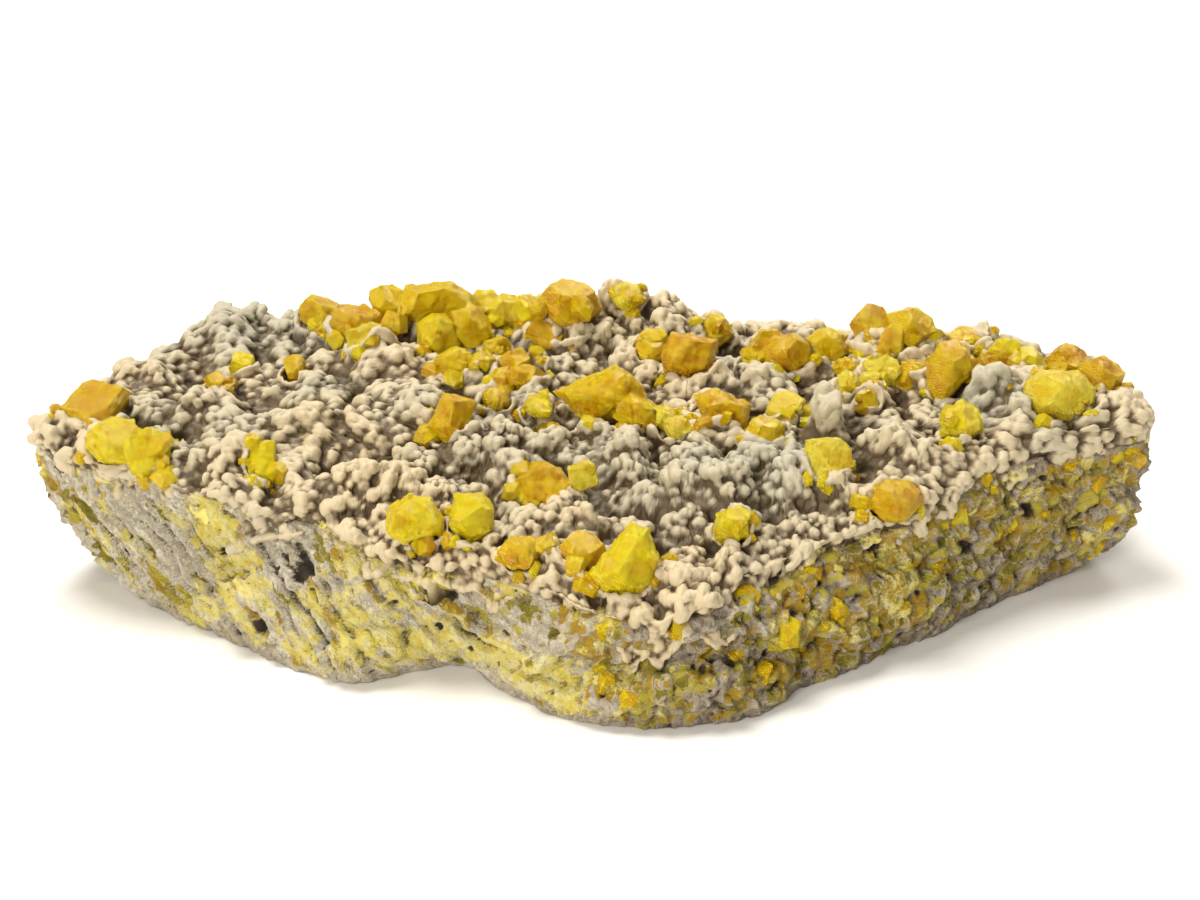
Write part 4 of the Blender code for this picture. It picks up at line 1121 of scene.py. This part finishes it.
flat_wall, flat_wall_up = wall.reshape(-1, 3), wall_out.reshape(-1, 3)
wall_room = np.broadcast_to(wall_up, solid.shape).ravel()
wall_free = (wall_room < 0.97) & (flat_wall[:, 2] > 5) & (knob_share.ravel() < 0.5) & (front.ravel() > 0.2)
for number, (slot, cell, threshold) in enumerate((("sulfur_gold", 17.0, 0.55), ("sulfur_lemon", 21.0, 0.55))):
    wanted = wall_free & (solid.ravel() > threshold) & (leftward.ravel() < 0.5)
    chosen = thinned(flat_wall, wanted, cell, 201 + number)
    name = slot.replace("sulfur", "wall_grains")
    salt = 211 + number
    grain_piece(name, flat_wall, flat_wall_up, chosen, 2.0, 4.6, 0.82, slot, "limestone_matrix", salt)

flat_crust, flat_crust_up = crust.reshape(-1, 3), crust_up.reshape(-1, 3)
beside = (room.ravel() > 0.05) & (room.ravel() < 0.5) & (lip.ravel() < 0.5)
for number, (slot, cell) in enumerate((("sulfur_gold", 5.0), ("sulfur_lemon", 6.5))):
    chosen = thinned(flat_crust, beside, cell, 221 + number)
    chosen = chosen[chance(chosen, 4, 5, 223 + number) < 0.14]
    name = slot.replace("sulfur", "crust_grains")
    salt = 231 + number
    grain_piece(name, flat_crust, flat_crust_up, chosen, 1.4, 3.2, 0.45, slot, "aragonite_crust", salt)

# Smaller crystals grown out of the flanks of the big ones, low down, where the crust holds them both.

for number, (slot, tone) in enumerate(TONES.items()):
    names = [f"sulfur_{crystal}" for crystal in tone.crystals.split() if crystal not in LONE_CRYSTALS]
    boxes = np.array([crystal_boxes[name] for name in names])
    middle, half = boxes.mean(1), (boxes[:, 1] - boxes[:, 0]) / 2
    twin = np.repeat(np.arange(len(names)), TWINS)
    turn = 2 * math.pi * chance(np.arange(len(twin)), 1, number, 241)
    rise = 0.9 * chance(np.arange(len(twin)), 2, number, 241) - 0.35
    away = np.stack([np.cos(turn) * np.cos(rise), np.sin(turn) * np.cos(rise), np.sin(rise)], -1)
    places = middle[twin] + 0.72 * half[twin] * away
    size = half[twin].mean(1) * (0.22 + 0.26 * chance(np.arange(len(twin)), 3, number, 241))
    twin_points, twin_faces = grains(places, away + [0, 0, 0.4], size, 251 + number)
    marks = {"own": np.repeat(chance(twin, 5, number, 241), len(twin_points) // len(twin))}
    marks["rim"] = np.full(len(twin_points), 0.4)
    name = slot.replace("sulfur", "twins")
    made = piece(name, twin_points, [twin_faces], marks, finishes[slot], smooth=False)
    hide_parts(*names)

# ---------------------------------------------------------------- floor, light and camera

FLOOR_COLOUR = (0.90, 0.89, 0.87)
floor_mesh = bpy.data.meshes.new("floor")
floor_mesh.from_pydata([(-4, -4, 0), (4, -4, 0), (4, 4, 0), (-4, 4, 0)], [], [(0, 1, 2, 3)])
floor_finish, floor_tree, floor_shader, _ = new_finish("pale floor")
plug(floor_tree, floor_shader, {"Base Color": (*FLOOR_COLOUR, 1), "Roughness": 0.9})
floor_mesh.materials.append(floor_finish)
floor = placed("floor", floor_mesh)
floor.location.z = -0.0002
floor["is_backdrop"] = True

world = bpy.data.worlds.new("studio")
world.use_nodes = True
sky = world.node_tree.nodes["Background"]
plug(world.node_tree, sky, {"Color": (1.0, 0.98, 0.95, 1), "Strength": 0.30})
bpy.context.scene.world = world

LIGHT_AIM = (0, 0, 0.03)


def softbox(name, place, size, power, colour):
    """A square soft light at a place in metres, turned towards the part."""
    light = bpy.data.lights.new(name, "AREA")
    light.shape = "SQUARE"
    light.size = size
    light.energy = power
    light.color = colour
    made = placed(name, light)
    made.location = place
    made.rotation_euler = (Vector(LIGHT_AIM) - Vector(place)).to_track_quat("-Z", "Y").to_euler()


softbox("overhead", (-0.5, 0.5, 2.2), 1.0, 54.0, (1.0, 0.97, 0.92))
softbox("back fill", (0.7, 1.6, 1.0), 1.0, 16.0, (1.0, 0.96, 0.90))
softbox("front fill", (-1.1, -2.0, 1.0), 0.9, 42.0, (1.0, 0.95, 0.88))

CAMERA_ELEVATION = 22.0
CAMERA_DISTANCE = 0.5
CAMERA_AIM = (0, 0, 0.035)
CAMERA_LENS = 60.0

camera = placed("camera", bpy.data.cameras.new("camera"))
camera.data.lens = CAMERA_LENS
camera.data.sensor_width = 36.0
camera.data.clip_start = 0.01
camera.data.clip_end = 20
lift = math.radians(CAMERA_ELEVATION)
back = Vector((0, -math.cos(lift), math.sin(lift)))
camera.location = Vector(CAMERA_AIM) + back * CAMERA_DISTANCE
camera.rotation_euler = (math.pi / 2 - lift, 0, 0)
bpy.context.scene.camera = camera
bpy.context.scene.view_settings.view_transform = "Standard"
bpy.context.scene.view_settings.exposure = 0.0

low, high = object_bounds()
